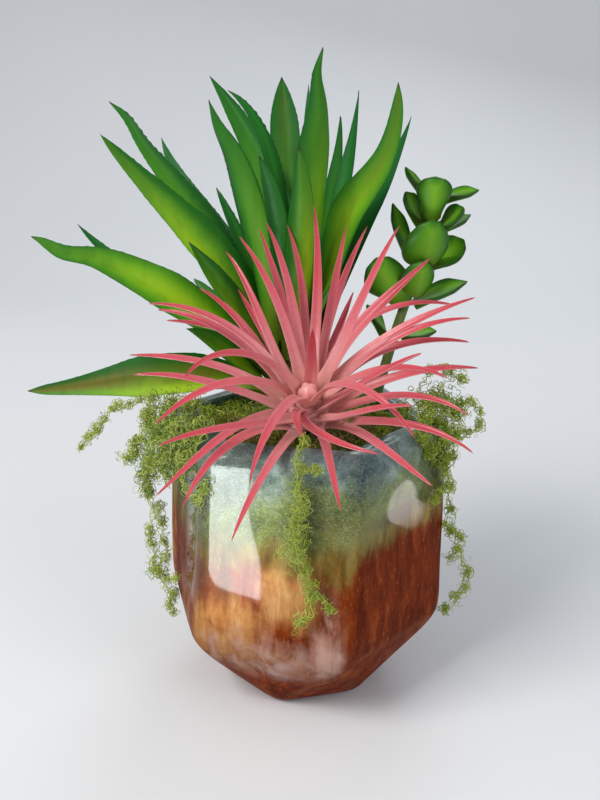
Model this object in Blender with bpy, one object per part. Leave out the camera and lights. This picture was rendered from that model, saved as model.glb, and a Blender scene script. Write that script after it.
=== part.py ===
"""Succulent arrangement: three artificial plants in a six-sided faceted pot.

The pot stands on z = 0 with its centre line on the Z axis. A block of floral
foam fills it and a bed of moss covers the foam. Three plants are pushed through
the moss into the foam: a tall aloe (behind, left of the middle), a pink
tillandsia that leans out over the front, and a crassula sprig (right). Strands
of moss drape over the rim. Lengths in the tables are millimetres, angles are
degrees: an azimuth of 0 points along +X, of 90 along +Y, away from the front.
"""

import math

import bmesh
import bpy
from mathutils import Matrix, Quaternion, Vector

MM = 0.001
GAP = 0.3                       # clearance between neighbouring pieces
SMOOTH_BELOW = 35.0             # edges flatter than this are shaded smooth

# ---------------------------------------------------------------- pot
SIDES = 6
CORNER_TURN = -74.0             # azimuth of the corner nearest the front
RIM_Z, RIM_R = 79.5, 39.8       # heights and corner radii of the outer facets
RIM_TWIST = 5.0                 # the rim is turned a little against the belly
BELLY_Z, BELLY_R = 23.0, 41.8
BASE_R = 22.7
MOUTH_R = 29.5                  # inner hollow, which narrows downwards
FLOOR_Z, FLOOR_R = 8.0, 23.0
EDGE_ROUND = 6.0                # bevel width at a weight of 1
LIP_WEIGHT, CORNER_WEIGHT, BASE_WEIGHT, INNER_WEIGHT = 0.9, 0.6, 0.3, 0.25

# ---------------------------------------------------------------- filling
FOAM_TOP = 69.0
FOAM_INSET, FOAM_FOOT_INSET = 0.55, 2.0
FOAM_SHOULDER_Z, FOAM_SHOULDER_INSET = 10.4, 0.95
BED_EDGE_Z, BED_TOP_Z = 76.5, 79.0
BED_INSET = 1.6
BED_STEPS = (0.75, 0.4)         # inner levels, as shares of the reach
BED_LUMP = 0.6

# ---------------------------------------------------------------- aloe
ALOE_AXIS = (-5.5, 10.0)
ALOE_STEM_R = 3.4
ALOE_STEM_Z = (34.0, 99.0)
ALOE_THICK, ALOE_DISH = 1.3, 0.12
# name: root height, azimuths and elevations at root, middle and tip, roll at middle and tip,
# length, width, and how far along the width is kept (2 tapers early, 6 late)
ALOE_LEAVES = {
    "aloe_leaf_01": (82, (183, 184, 181), (25, -6, -3), (-60, -65), 71, 11, 3),
    "aloe_leaf_02": (87, (196, 187, 178), (46, 32, 12), (-50, -60), 77, 10, 3.5),
    "aloe_leaf_03": (86, (160, 163, 167), (40, 28, 47), (-40, -50), 74, 7, 3),
    "aloe_leaf_04": (91, (187, 187, 176), (77, 48.5, 49), (-60, -60), 77.5, 11, 3),
    "aloe_leaf_05": (89, (149, 157, 162), (66, 51, 45), (-40, -50), 90, 9, 3),
    "aloe_leaf_06": (87, (115, 139, 126), (67, 40, 57), (-40, -40), 86.5, 8, 3),
    "aloe_leaf_07": (95.5, (134, 138, 143), (64, 58, 56), (-10, -30), 49, 6.5, 3),
    "aloe_leaf_08": (97, (87, 130, 146), (80, 59, 46), (-30, -40), 83, 9, 3),
    "aloe_leaf_09": (95.6, (204, 187, 188), (82, 76.5, 65), (48, 42), 68.5, 9.3, 3),
    "aloe_leaf_10": (99.5, (138, 146, 140), (86, 83, 21), (-20, -20), 71.5, 7, 3),
    "aloe_leaf_11": (91, (88, 99, 100), (75, 67, 70), (0, 0), 83, 10, 5),
    "aloe_leaf_12": (87, (72, 89, 86), (61, 69, 70), (0, 0), 86, 6, 3),
    "aloe_leaf_13": (98, (312, 296, 286), (83, 82, 76), (0, 0), 77, 9, 6),
    "aloe_leaf_14": (93, (284, 281, 245), (79, 74.5, 75.5), (0, 0), 60, 8, 3),
    "aloe_leaf_15": (95, (54, 54, 59), (76, 68, 97), (-20, -20), 66, 7, 3),
    "aloe_leaf_16": (94, (22, 39, 50), (79, 73, 87), (0, 0), 73, 5, 3),
    "aloe_leaf_17": (92.2, (-26, -15, 7), (81, 64, 98), (50, 60), 79, 11, 2.2),
    "aloe_leaf_18": (84.5, (-2, 5, 10), (77, 66, 77), (45, 45), 79, 6.8, 3),
    "aloe_leaf_19": (98.3, (261, 243.5, 214), (82.5, 75.5, 67), (0, 10), 52, 6.2, 3),
    "aloe_leaf_20": (88.5, (236, 207, 192), (57, 54, 57), (-40, -50), 47, 9, 3),
    "aloe_leaf_21": (82.4, (226, 208, 196), (40, 42, 22), (-40, -50), 35, 8, 3),
    "aloe_leaf_22": (83, (75, 80, 84), (40, 26, 10), (0, 0), 60, 9, 3),
    "aloe_leaf_23": (83, (130, 126, 120), (38, 24, 12), (0, 0), 56, 9, 3),
}
# leaves that swing sideways on their way: how far, where along them and over what share
ALOE_BOWS = {
    "aloe_leaf_02": (2.0, 0.88, 0.08),
    "aloe_leaf_05": (-1.5, 0.93, 0.08),
    "aloe_leaf_09": (-1.5, 0.91, 0.09),
    "aloe_leaf_13": (-1.2, 0.92, 0.07),
    "aloe_leaf_17": (5.0, 0.53, 0.17),
    "aloe_leaf_18": (2.2, 0.6, 0.25),
}

# ---------------------------------------------------------------- tillandsia
PINK_FOOT = (0.5, -13.0, 84.0)  # where its axis leaves the moss
PINK_LEAN = 38.0                # how far the axis tips towards the front
PINK_STEM_R = 1.0
PINK_ROOT = 26.0                # length of stem below the foot
PINK_WIDTH, PINK_THICK, PINK_DISH = 3.0, 1.0, 0.1
PINK_RING_STEP = 1.7            # each ring of leaves sits this much above the last
PINK_RING_R = 7.0               # radius of the lowest ring, 1 mm less for each ring above
PINK_HUB_SIDES = 20
PINK_SEAT = 0.6                 # how deep a leaf sits in its ring
PINK_STATIONS, ALOE_STATIONS, JADE_STATIONS = 8, 10, 7      # cross-sections along a leaf
# Rings from the lowest up, each leaf: azimuths, elevations (root, middle, tip), length.
# These are measured about the leaning axis.
PINK_RINGS = [
    [((250, 248, 252), (50, 15, -11), 44), ((224, 231, 253), (48, 22, -19), 45),
     ((159, 174, 180), (45, 16, -3), 44), ((120, 163, 174), (43, 18, -5), 42),
     ((138, 136, 158), (46, 34, 11), 38), ((123, 127, 123), (45, 31, 22), 32),
     ((69, 67, 68), (46, 32, 22), 29), ((78, 68, 57), (45, 41, 34), 46),
     ((73, 25, -15), (45, 22, -1), 48), ((13, 11, 10), (46, 12, -21), 42),
     ((-32, -26, -43), (44, 28, -6), 44), ((-40, -55, -46), (50, 29, 12), 44)],
    [((208, 228, 223), (48, 10, -14), 46), ((191, 181, 184), (48, 26, -7), 43),
     ((144, 154, 171), (50, 22, -11), 44), ((106, 112, 117), (50, 43, 32), 44),
     ((94, 98, 118), (50, 43, 32), 44), ((73, 78, 75), (50, 44, 34), 44),
     ((62, 35, 32), (49, 38, 35), 46), ((39, 13, -6), (51, 18, -6), 43),
     ((-16, -22, -45), (49, 37, 2), 44), ((-74, -82, -79), (53, 31, 8), 44)],
    [((240, 210, 212), (45, 29, -1), 45), ((142, 159, 185), (54, 28, -1), 47),
     ((138, 117, 125), (54, 28, -4), 44), ((102, 108, 124), (55, 46, 34), 45),
     ((83, 89, 102), (55, 48, 38), 48), ((34, 21, 13), (54, 29, 13), 48),
     ((28, 19, 1), (54, 29, 0), 45), ((-58, -41, -32), (47, 55, 38), 44)],
    [((256, 268, 284), (60, 50, 36), 44), ((180, 208, 228), (64, 18, -13), 44),
     ((114, 119, 131), (60, 39, 14), 44), ((46, 56, 52), (57, 48, 36), 48),
     ((2, -21, -47), (59, 43, 20), 43), ((-32, -22, -15), (57, 59, 47), 43),
     ((-108, -60, -18), (56, 35, 13), 44)],
    [((250, 248, 262), (75, 25, -15), 45), ((163, 203, 250), (69, 40, 8), 44),
     ((80, 86, 95), (76, 90, 100), 25), ((-43, -44, -55), (80, 35, -28), 45)],
]

# ---------------------------------------------------------------- crassula
JADE_ROUTE = [(17, 8, 44), (19, 9, 74), (23.5, 9.5, 96), (28.5, 10, 114), (32, 10, 128), (34, 10, 141)]
JADE_STEM_R = (1.6, 1.1)        # at the foot and at the top
JADE_THICK, JADE_DISH = 2.0, 0.08
# name: height on the stem, azimuth, elevations at root and tip, roll, length, width
JADE_LEAVES = {
    "crassula_leaf_01": (99, 352, (20, 8), 20, 10, 6),
    "crassula_leaf_02": (100, 185, (60, 52), -30, 10, 5),
    "crassula_leaf_03": (108.5, 358, (30, 20), 20, 16, 8),
    "crassula_leaf_04": (109.2, 213, (52, 62), 66, 15.5, 12),
    "crassula_leaf_05": (112.2, 287, (54, 70), 0, 11, 10.5),
    "crassula_leaf_06": (121.5, 170, (62, 74), -35, 15.5, 5.5),
    "crassula_leaf_07": (120.5, 282, (48, 78), 0, 14, 13),
    "crassula_leaf_08": (119, 12, (28, 40), 40, 13, 10),
    "crassula_leaf_09": (130.5, 192, (55, 66), -40, 10, 7),
    "crassula_leaf_10": (129, 338, (38, 50), 30, 9.5, 9),
    "crassula_leaf_11": (129, 30, (12, 20), 20, 13, 5),
    "crassula_leaf_12": (131, 90, (50, 60), 0, 10, 8),
    "crassula_leaf_13": (132.5, 265, (66, 84), 0, 11.5, 9.5),
    "crassula_leaf_14": (138.5, 180, (40, 55), -30, 9.5, 3),
    "crassula_leaf_15": (137.5, 2, (18, 8), 30, 10, 4.5),
}

# ---------------------------------------------------------------- moss over the rim
# name: points along its middle, each with a radius
MOSS = {
    "moss_clump_left": [
        (-23, -10, 81.8, 2.5), (-29, -10.5, 84, 4), (-36, -11, 84.3, 5.3), (-42, -11, 79, 5.5),
        (-43, -10, 70, 4.5), (-43, -9, 61, 2)],
    "moss_strand_left": [
        (-43, -9, 60.5, 1.7), (-41.5, -8, 51, 1.6), (-42.5, -8, 42, 1.6), (-41.5, -8, 34, 1.5),
        (-40, -8, 27, 1.4), (-39, -8, 19, 1.0)],
    "moss_tendril_left": [
        (-42.5, -4.5, 83.5, 1.2), (-50, -4, 82, 1.2), (-57, -4, 76, 1.2), (-62, -4, 69, 0.8)],
    "moss_strand_front": [
        (0.5, -24, 79.4, 1.2), (0, -29, 81.8, 1.2), (-1, -34, 80.4, 1.6), (-2.4, -37.6, 75.5, 2.0),
        (-2, -38.6, 67, 2.1), (-1, -39, 58, 1.9), (2, -39.5, 50, 1.7), (4, -40, 42, 1.2)],
    "moss_clump_right": [
        (22, -8, 81.4, 2.5), (29, -8, 84.3, 4.0), (36.5, -6, 84.6, 5.0), (43, -5, 80, 4.5),
        (43.5, -5, 72, 2.2)],
    "moss_strand_right": [
        (43.5, -5, 71.5, 1.8), (43, -5, 62, 1.6), (43, -5, 52, 1.5), (44.5, -4, 43, 1.5),
        (47, -4, 36, 1.5), (48.5, -4, 29, 1.4), (44.5, -4, 21, 1.0)],
    "moss_tendril_right": [
        (44.5, -1.5, 85.5, 1.0), (47.5, -1.5, 83.5, 1.0), (48.5, -1.5, 78, 1.0), (47, -2, 74, 0.7)],
    "moss_tuft_front": [(8, -24, 78.8, 1.5), (13, -19, 79.6, 2.0), (17, -13, 79.6, 1.5)],
    "moss_tuft_side": [(-14, -21, 78.8, 1.5), (-17, -17, 79.6, 2.0), (-19, -13, 79.2, 1.5)],
}


# ================================================================ helpers

def material(name, colour, roughness, metallic=0.0):
    """A Principled material with one colour."""
    made = bpy.data.materials.new(name)
    made.use_nodes = True
    shader = made.node_tree.nodes["Principled BSDF"]
    shader.inputs["Base Color"].default_value = (*colour, 1.0)
    shader.inputs["Roughness"].default_value = roughness
    shader.inputs["Metallic"].default_value = metallic
    return made


def new_object(name, bm, finish):
    """Turn a bmesh in millimetres into a smooth-shaded object in metres."""
    bmesh.ops.recalc_face_normals(bm, faces=bm.faces)
    bm.transform(Matrix.Scale(MM, 4))
    mesh = bpy.data.meshes.new(name)
    bm.to_mesh(mesh)
    bm.free()
    mesh.materials.append(finish)
    mesh.shade_smooth()
    mesh.set_sharp_from_angle(angle=math.radians(SMOOTH_BELOW))
    made = bpy.data.objects.new(name, mesh)
    bpy.context.scene.collection.objects.link(made)
    return made


def hide(obj):
    """Mark an object as a cutter or a guide."""
    obj.hide_render = True
    obj.display_type = "WIRE"


def cut(target, cutter):
    """Subtract the cutter from the target."""
    hide(cutter)
    step = target.modifiers.new("cut " + cutter.name, "BOOLEAN")
    step.operation = "DIFFERENCE"
    step.object = cutter


def ring(bm, points):
    return [bm.verts.new(p) for p in points]


def bridge(bm, low, high):
    """Quads between two rings of the same length."""
    count = len(low)
    for i in range(count):
        j = (i + 1) % count
        bm.faces.new((low[i], low[j], high[j], high[i]))


def fan(bm, loop, apex):
    """Triangles from a ring to one point."""
    tip = bm.verts.new(apex)
    for i in range(len(loop)):
        bm.faces.new((loop[i], loop[(i + 1) % len(loop)], tip))


def hexagon(radius, z, turn=0.0):
    """Corners of one level of the pot."""
    angles = [math.radians(CORNER_TURN + turn + 360 / SIDES * k) for k in range(SIDES)]
    return [(radius * math.cos(a), radius * math.sin(a), z) for a in angles]


def catmull(points, steps):
    """A smooth curve through points of any dimension, with steps pieces a span."""
    ends = [[2 * a - b for a, b in zip(points[0], points[1])],
            [2 * a - b for a, b in zip(points[-1], points[-2])]]
    p = [ends[0], *points, ends[1]]
    curve = []
    for i in range(1, len(p) - 2):
        for k in range(steps):
            t = k / steps
            weights = (-0.5 * t + t * t - 0.5 * t ** 3, 1 - 2.5 * t * t + 1.5 * t ** 3,
                       0.5 * t + 2 * t * t - 1.5 * t ** 3, -0.5 * t * t + 0.5 * t ** 3)
            curve.append([sum(w * q[d] for w, q in zip(weights, p[i - 1:i + 3])) for d in range(len(p[i]))])
    curve.append(list(points[-1]))
    return curve


def tube(name, route, finish, sides=8, grow=0.0):
    """A closed round tube. Each point of the route is x, y, z, radius."""
    bm = bmesh.new()
    loops = []
    first, second = Vector(route[0][:3]), Vector(route[1][:3])
    across = (second - first).orthogonal().normalized()
    for i, point in enumerate(route):
        before = Vector(route[max(i - 1, 0)][:3])
        after = Vector(route[min(i + 1, len(route) - 1)][:3])
        along = (after - before).normalized()
        across = (across - along * across.dot(along)).normalized()
        other = along.cross(across)
        radius = point[3] + grow
        angles = [2 * math.pi * k / sides for k in range(sides)]
        loops.append(ring(bm, [Vector(point[:3]) + (across * math.cos(a) + other * math.sin(a)) * radius
                               for a in angles]))
    for low, high in zip(loops, loops[1:]):
        bridge(bm, low, high)
    bm.faces.new(loops[0])
    bm.faces.new(loops[-1])
    return new_object(name, bm, finish)


# ================================================================ leaves

def through(values, s):
    """The quadratic that takes the three values at s = 0, 0.5 and 1."""
    root, middle, tip = values
    return root * (2 * s - 1) * (s - 1) - 4 * middle * s * (s - 1) + tip * s * (2 * s - 1)


def leaf_frames(root, azimuths, elevations, rolls, length, stations):
    """Points, side and upper directions along a leaf that follows its headings.

    The roll turns the leaf about its own line, from 0 at its root.
    """
    fine = 6
    step = length / (stations * fine)
    point = Vector(root)
    frames = []
    for i in range(stations * fine + 1):
        s = i / (stations * fine)
        azimuth = math.radians(through(azimuths, s))
        elevation = math.radians(through(elevations, s))
        along = Vector((math.cos(elevation) * math.cos(azimuth), math.cos(elevation) * math.sin(azimuth),
                        math.sin(elevation)))
        side = Vector((-math.sin(azimuth), math.cos(azimuth), 0))
        side.rotate(Quaternion(along, math.radians(through((0, *rolls), s))))
        if i % fine == 0:
            frames.append((s, point.copy(), side, along.cross(side)))
        point += along * step
    return frames


def leaf(name, frames, outline, section, finish):
    """A closed leaf: section(s, width) gives the cross-section, outline(s) the width."""
    bm = bmesh.new()
    loops = []
    for s, point, side, up in frames[:-1]:
        loops.append(ring(bm, [point + side * a + up * b for a, b in section(s, outline(s))]))
    for low, high in zip(loops, loops[1:]):
        bridge(bm, low, high)
    bm.faces.new(loops[0])
    fan(bm, loops[-1], frames[-1][1])
    return new_object(name, bm, finish)


def channelled(thick, dish):
    """A section like a shallow gutter: thick in the middle, its edges turned up by dish x width."""
    def section(s, width):
        t = thick * (1 - 0.45 * s)
        rim = dish * width
        return [(-width / 2, rim), (-width / 4, rim * 0.3 - t / 2), (width / 4, rim * 0.3 - t / 2),
                (width / 2, rim), (width / 4, rim * 0.3 + t / 2), (-width / 4, rim * 0.3 + t / 2)]
    return section


def aloe_outline(width, keep):
    """Narrow at the stem, widest at a third, then a taper to a point."""
    def outline(s):
        return width * min(1.0, 0.32 + 2.2 * s) * (1 - s ** keep) ** (0.55 + 0.16 * keep)
    return outline


def pink_outline(s):
    return PINK_WIDTH * (1 - 0.25 * s) * (1 - s ** 3) ** 0.9


def jade_outline(width):
    """A spoon: a narrow stalk, then a round blade with a blunt point."""
    def outline(s):
        return max(1.2, width * math.sin(math.pi * (0.06 + 0.90 * s ** 1.25)) ** 0.8)
    return outline


# ================================================================ pot and filling

def make_pot(finish):
    bm = bmesh.new()
    base = ring(bm, hexagon(BASE_R, 0, turn=180 / SIDES))
    belly = ring(bm, hexagon(BELLY_R, BELLY_Z))
    rim = ring(bm, hexagon(RIM_R, RIM_Z, turn=RIM_TWIST))
    mouth = ring(bm, hexagon(MOUTH_R, RIM_Z, turn=RIM_TWIST))
    floor = ring(bm, hexagon(FLOOR_R, FLOOR_Z, turn=RIM_TWIST))
    bm.faces.new(base)
    for k in range(SIDES):
        following = (k + 1) % SIDES
        bm.faces.new((belly[k], base[k], belly[following]))
        bm.faces.new((base[k], base[following], belly[following]))
    for low, high in ((belly, rim), (rim, mouth), (mouth, floor)):
        bridge(bm, low, high)
    bm.faces.new(floor)
    weight = bm.edges.layers.float.new("bevel_weight_edge")
    loops = ((set(rim), LIP_WEIGHT), (set(mouth), INNER_WEIGHT), (set(floor), INNER_WEIGHT),
             (set(base), BASE_WEIGHT))
    for edge in bm.edges:
        edge[weight] = CORNER_WEIGHT
        for loop, value in loops:
            if edge.verts[0] in loop and edge.verts[1] in loop:
                edge[weight] = value
        if edge.verts[0] in floor or edge.verts[1] in floor:
            edge[weight] = INNER_WEIGHT
    pot = new_object("pot", bm, finish)
    rounding = pot.modifiers.new("rounded edges", "BEVEL")
    rounding.limit_method = "WEIGHT"
    rounding.width = EDGE_ROUND * MM
    rounding.segments = 3
    return pot


def hollow_radius(z):
    """Corner radius of the pot's hollow at a height."""
    return FLOOR_R + (MOUTH_R - FLOOR_R) * (z - FLOOR_Z) / (RIM_Z - FLOOR_Z)


def make_foam(finish):
    """A tapered block that follows the hollow with a small clearance."""
    levels = ((FLOOR_R - FOAM_FOOT_INSET, FLOOR_Z + GAP),
              (hollow_radius(FOAM_SHOULDER_Z) - FOAM_SHOULDER_INSET, FOAM_SHOULDER_Z),
              (hollow_radius(FOAM_TOP) - FOAM_INSET, FOAM_TOP))
    bm = bmesh.new()
    loops = [ring(bm, hexagon(radius, z, turn=RIM_TWIST)) for radius, z in levels]
    for low, high in zip(loops, loops[1:]):
        bridge(bm, low, high)
    bm.faces.new(loops[0])
    bm.faces.new(loops[-1])
    return new_object("foam_plug", bm, finish)


def make_bed(finish):
    """A low lumpy dome of moss from wall to wall over the foam."""
    bottom = FOAM_TOP + GAP
    reach = hollow_radius(BED_EDGE_Z) - BED_INSET
    bm = bmesh.new()
    loops = [ring(bm, hexagon(hollow_radius(bottom) - BED_INSET, bottom, turn=RIM_TWIST)),
             ring(bm, hexagon(reach, BED_EDGE_Z, turn=RIM_TWIST))]
    for share in BED_STEPS:
        lift = (BED_TOP_Z - BED_EDGE_Z) * (1 - share ** 2)
        points = [(x, y, z + lift + BED_LUMP * math.sin(1.7 * x + 0.4 * y)) for x, y, z in
                  hexagon(reach * share, BED_EDGE_Z, turn=RIM_TWIST)]
        loops.append(ring(bm, points))
    for low, high in zip(loops, loops[1:]):
        bridge(bm, low, high)
    bm.faces.new(loops[0])
    fan(bm, loops[-1], (0, 0, BED_TOP_Z))
    return new_object("moss_bed", bm, finish)


# ================================================================ plants

def make_aloe(stem_finish, leaf_finish):
    low, high = ALOE_STEM_Z
    x, y = ALOE_AXIS
    route = [(x, y, low, 0.6), (x, y, low + 5, ALOE_STEM_R), (x, y, high - 1, ALOE_STEM_R), (x, y, high, 2.4)]
    stem = tube("aloe_stem", route, stem_finish, sides=16)
    for name, (z, azimuths, elevations, rolls, length, width, keep) in ALOE_LEAVES.items():
        reach = ALOE_STEM_R + GAP + ALOE_THICK / 2 * math.sin(math.radians(elevations[0]))
        turn = math.radians(azimuths[0])
        root = (x + reach * math.cos(turn), y + reach * math.sin(turn), z)
        frames = leaf_frames(root, azimuths, elevations, rolls, length, ALOE_STATIONS)
        far, place, share = ALOE_BOWS.get(name, (0, 1, 1))
        frames = [(s, point + side * far * math.exp(-((s - place) / share) ** 2), side, up)
                  for s, point, side, up in frames]
        leaf(name, frames, aloe_outline(width, keep), channelled(ALOE_THICK, ALOE_DISH), leaf_finish)
    return stem, tube("aloe hole", route, stem_finish, sides=16, grow=GAP)


def make_hub(name, level, finish):
    """The ring that carries one whorl of tillandsia leaves, lying across the axis."""
    outer = PINK_RING_R - level
    z = PINK_RING_STEP * level
    half = (PINK_RING_STEP - GAP) / 2
    inner = PINK_STEM_R + GAP
    profile = [(inner, z - half), (outer - 0.3, z - half), (outer, z), (outer - 0.6, z + half),
               (inner, z + half)]
    angles = [2 * math.pi * i / PINK_HUB_SIDES for i in range(PINK_HUB_SIDES)]
    bm = bmesh.new()
    loops = [ring(bm, [(radius * math.cos(a), radius * math.sin(a), height) for a in angles])
             for radius, height in profile]
    for low, high in zip(loops, loops[1:] + loops[:1]):
        bridge(bm, low, high)
    return new_object(name, bm, finish)


def make_tillandsia(leaf_finish, stem_finish):
    """Moulded rings of thin leaves threaded on a wire-thin leaning stem."""
    lean = Matrix.Translation(Vector(PINK_FOOT) * MM) @ Matrix.Rotation(math.radians(PINK_LEAN), 4, "X")
    top = PINK_RING_STEP * len(PINK_RINGS) + 0.6
    route = [(0, 0, -PINK_ROOT, 0.5), (0, 0, 3 - PINK_ROOT, PINK_STEM_R), (0, 0, top, PINK_STEM_R),
             (0, 0, top + 1.5, 0.5)]
    stem = tube("tillandsia_stem", route, stem_finish, sides=12)
    hole = tube("tillandsia hole", route, stem_finish, sides=12, grow=GAP)
    stem.matrix_world = lean
    hole.matrix_world = lean
    for level, leaves in enumerate(PINK_RINGS):
        hub = make_hub("tillandsia_ring_%d" % (level + 1), level, leaf_finish)
        hub.matrix_world = lean
        whorl = bpy.data.collections.new("whorl %d" % (level + 1))
        bpy.context.scene.collection.children.link(whorl)
        reach = PINK_RING_R - level - PINK_SEAT
        for i, (azimuths, elevations, length) in enumerate(leaves):
            turn = math.radians(azimuths[0])
            root = (reach * math.cos(turn), reach * math.sin(turn), PINK_RING_STEP * level)
            frames = leaf_frames(root, azimuths, elevations, (0, 0), length, PINK_STATIONS)
            blade = leaf("blade %d %d" % (level + 1, i + 1), frames, pink_outline,
                         channelled(PINK_THICK, PINK_DISH), leaf_finish)
            blade.matrix_world = lean
            hide(blade)
            bpy.context.scene.collection.objects.unlink(blade)
            whorl.objects.link(blade)
        join = hub.modifiers.new("leaves", "BOOLEAN")
        join.operation = "UNION"
        join.operand_type = "COLLECTION"
        join.collection = whorl
    return hole


def make_crassula(stem_finish, leaf_finish):
    """A bent stem with spoon-shaped leaves seated along it."""
    low_r, high_r = JADE_STEM_R
    last = len(JADE_ROUTE) - 1
    route = [(*point, low_r + (high_r - low_r) * i / last) for i, point in enumerate(JADE_ROUTE)]
    curve = catmull(route, 3)
    tube("crassula_stem", curve, stem_finish, sides=8)
    hole = tube("crassula hole", curve, stem_finish, sides=8, grow=GAP)
    for name, (z, azimuth, elevations, roll, length, width) in JADE_LEAVES.items():
        x, y, _, radius = min(catmull(route, 40), key=lambda p: abs(p[2] - z))
        reach = radius + 1.5 * GAP + JADE_THICK / 2 * math.sin(math.radians(elevations[0]))
        turn = math.radians(azimuth)
        root = (x + reach * math.cos(turn), y + reach * math.sin(turn), z)
        start, end = elevations
        headings = (start, (start + end) / 2, end)
        frames = leaf_frames(root, (azimuth,) * 3, headings, (roll, roll), length, JADE_STATIONS)
        leaf(name, frames, jade_outline(width), channelled(JADE_THICK, JADE_DISH), leaf_finish)
    return hole


def make_moss(finish):
    for name, route in MOSS.items():
        tube(name, catmull(route, 3), finish, sides=7)


def main():
    for obj in list(bpy.data.objects):
        bpy.data.objects.remove(obj)
    glaze = material("pot glaze", (0.42, 0.20, 0.09), 0.15)
    foam = material("floral foam", (0.12, 0.22, 0.10), 0.9)
    moss = material("moss", (0.22, 0.32, 0.05), 0.9)
    green = material("aloe green", (0.14, 0.38, 0.05), 0.4)
    stalk = material("green stalk", (0.20, 0.33, 0.10), 0.5)
    pink = material("tillandsia pink", (0.75, 0.20, 0.20), 0.45)
    jade = material("crassula green", (0.16, 0.36, 0.05), 0.4)

    make_pot(glaze)
    plug = make_foam(foam)
    bed = make_bed(moss)
    _, aloe_hole = make_aloe(stalk, green)
    pink_hole = make_tillandsia(pink, stalk)
    jade_hole = make_crassula(stalk, jade)
    for hole in (aloe_hole, pink_hole, jade_hole):
        cut(plug, hole)
        cut(bed, hole)
    make_moss(moss)


main()
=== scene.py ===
"""Looks of the succulent arrangement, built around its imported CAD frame.

Lengths are millimetres and angles are degrees until a mesh is written, which is
in metres. -Y is the front. The leaf tables repeat the ones of the CAD source,
so each fine leaf lies where its CAD node does.
"""

import math

import bpy
import numpy as np
from mathutils import Matrix, Vector


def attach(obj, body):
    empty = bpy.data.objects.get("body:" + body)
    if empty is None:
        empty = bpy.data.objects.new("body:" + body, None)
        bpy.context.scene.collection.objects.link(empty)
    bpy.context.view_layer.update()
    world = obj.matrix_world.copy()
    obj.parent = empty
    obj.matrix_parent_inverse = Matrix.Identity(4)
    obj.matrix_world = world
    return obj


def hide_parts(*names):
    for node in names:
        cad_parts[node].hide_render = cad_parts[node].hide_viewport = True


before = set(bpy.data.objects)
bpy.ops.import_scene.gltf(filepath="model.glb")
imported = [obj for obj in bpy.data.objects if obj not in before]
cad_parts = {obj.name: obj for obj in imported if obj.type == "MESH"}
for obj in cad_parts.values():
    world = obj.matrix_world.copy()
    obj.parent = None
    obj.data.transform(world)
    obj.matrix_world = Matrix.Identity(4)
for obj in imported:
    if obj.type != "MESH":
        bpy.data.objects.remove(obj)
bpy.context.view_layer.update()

MM = 0.001
BODY = "root"

# ---------------------------------------------------------------- aloe
ALOE_AXIS = (-5.5, 10.0)
ALOE_STEM_R = 3.4
ALOE_STEM_Z = (66.0, 99.0)
ALOE_THICK = 1.3
ALOE_GAP = 0.3              # between a leaf's root and the stem
ALOE_STATIONS = 10          # stations that the CAD sweeps a leaf through
# Width as a share of the widest, at these places from the root to the tip.
ALOE_PLACES = (0, 0.12, 0.3, 0.4, 0.5, 0.6, 0.7, 0.78, 0.84, 0.9, 0.95, 1)
ALOE_OUTLINES = {
    "slim": (0.62, 0.84, 1, 0.97, 0.90, 0.75, 0.60, 0.47, 0.38, 0.28, 0.17, 0),
    "late": (0.62, 0.84, 1, 1, 1, 0.84, 0.63, 0.46, 0.37, 0.29, 0.19, 0),
    "broad": (0.62, 0.80, 0.96, 1, 1, 1, 0.93, 0.70, 0.49, 0.30, 0.16, 0),
    "spear": (0.62, 0.80, 0.96, 1, 1, 0.95, 0.82, 0.69, 0.55, 0.36, 0.20, 0),
    "blunt": (0.62, 0.80, 0.94, 1, 1, 1, 0.93, 0.87, 0.79, 0.60, 0.36, 0),
}
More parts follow.
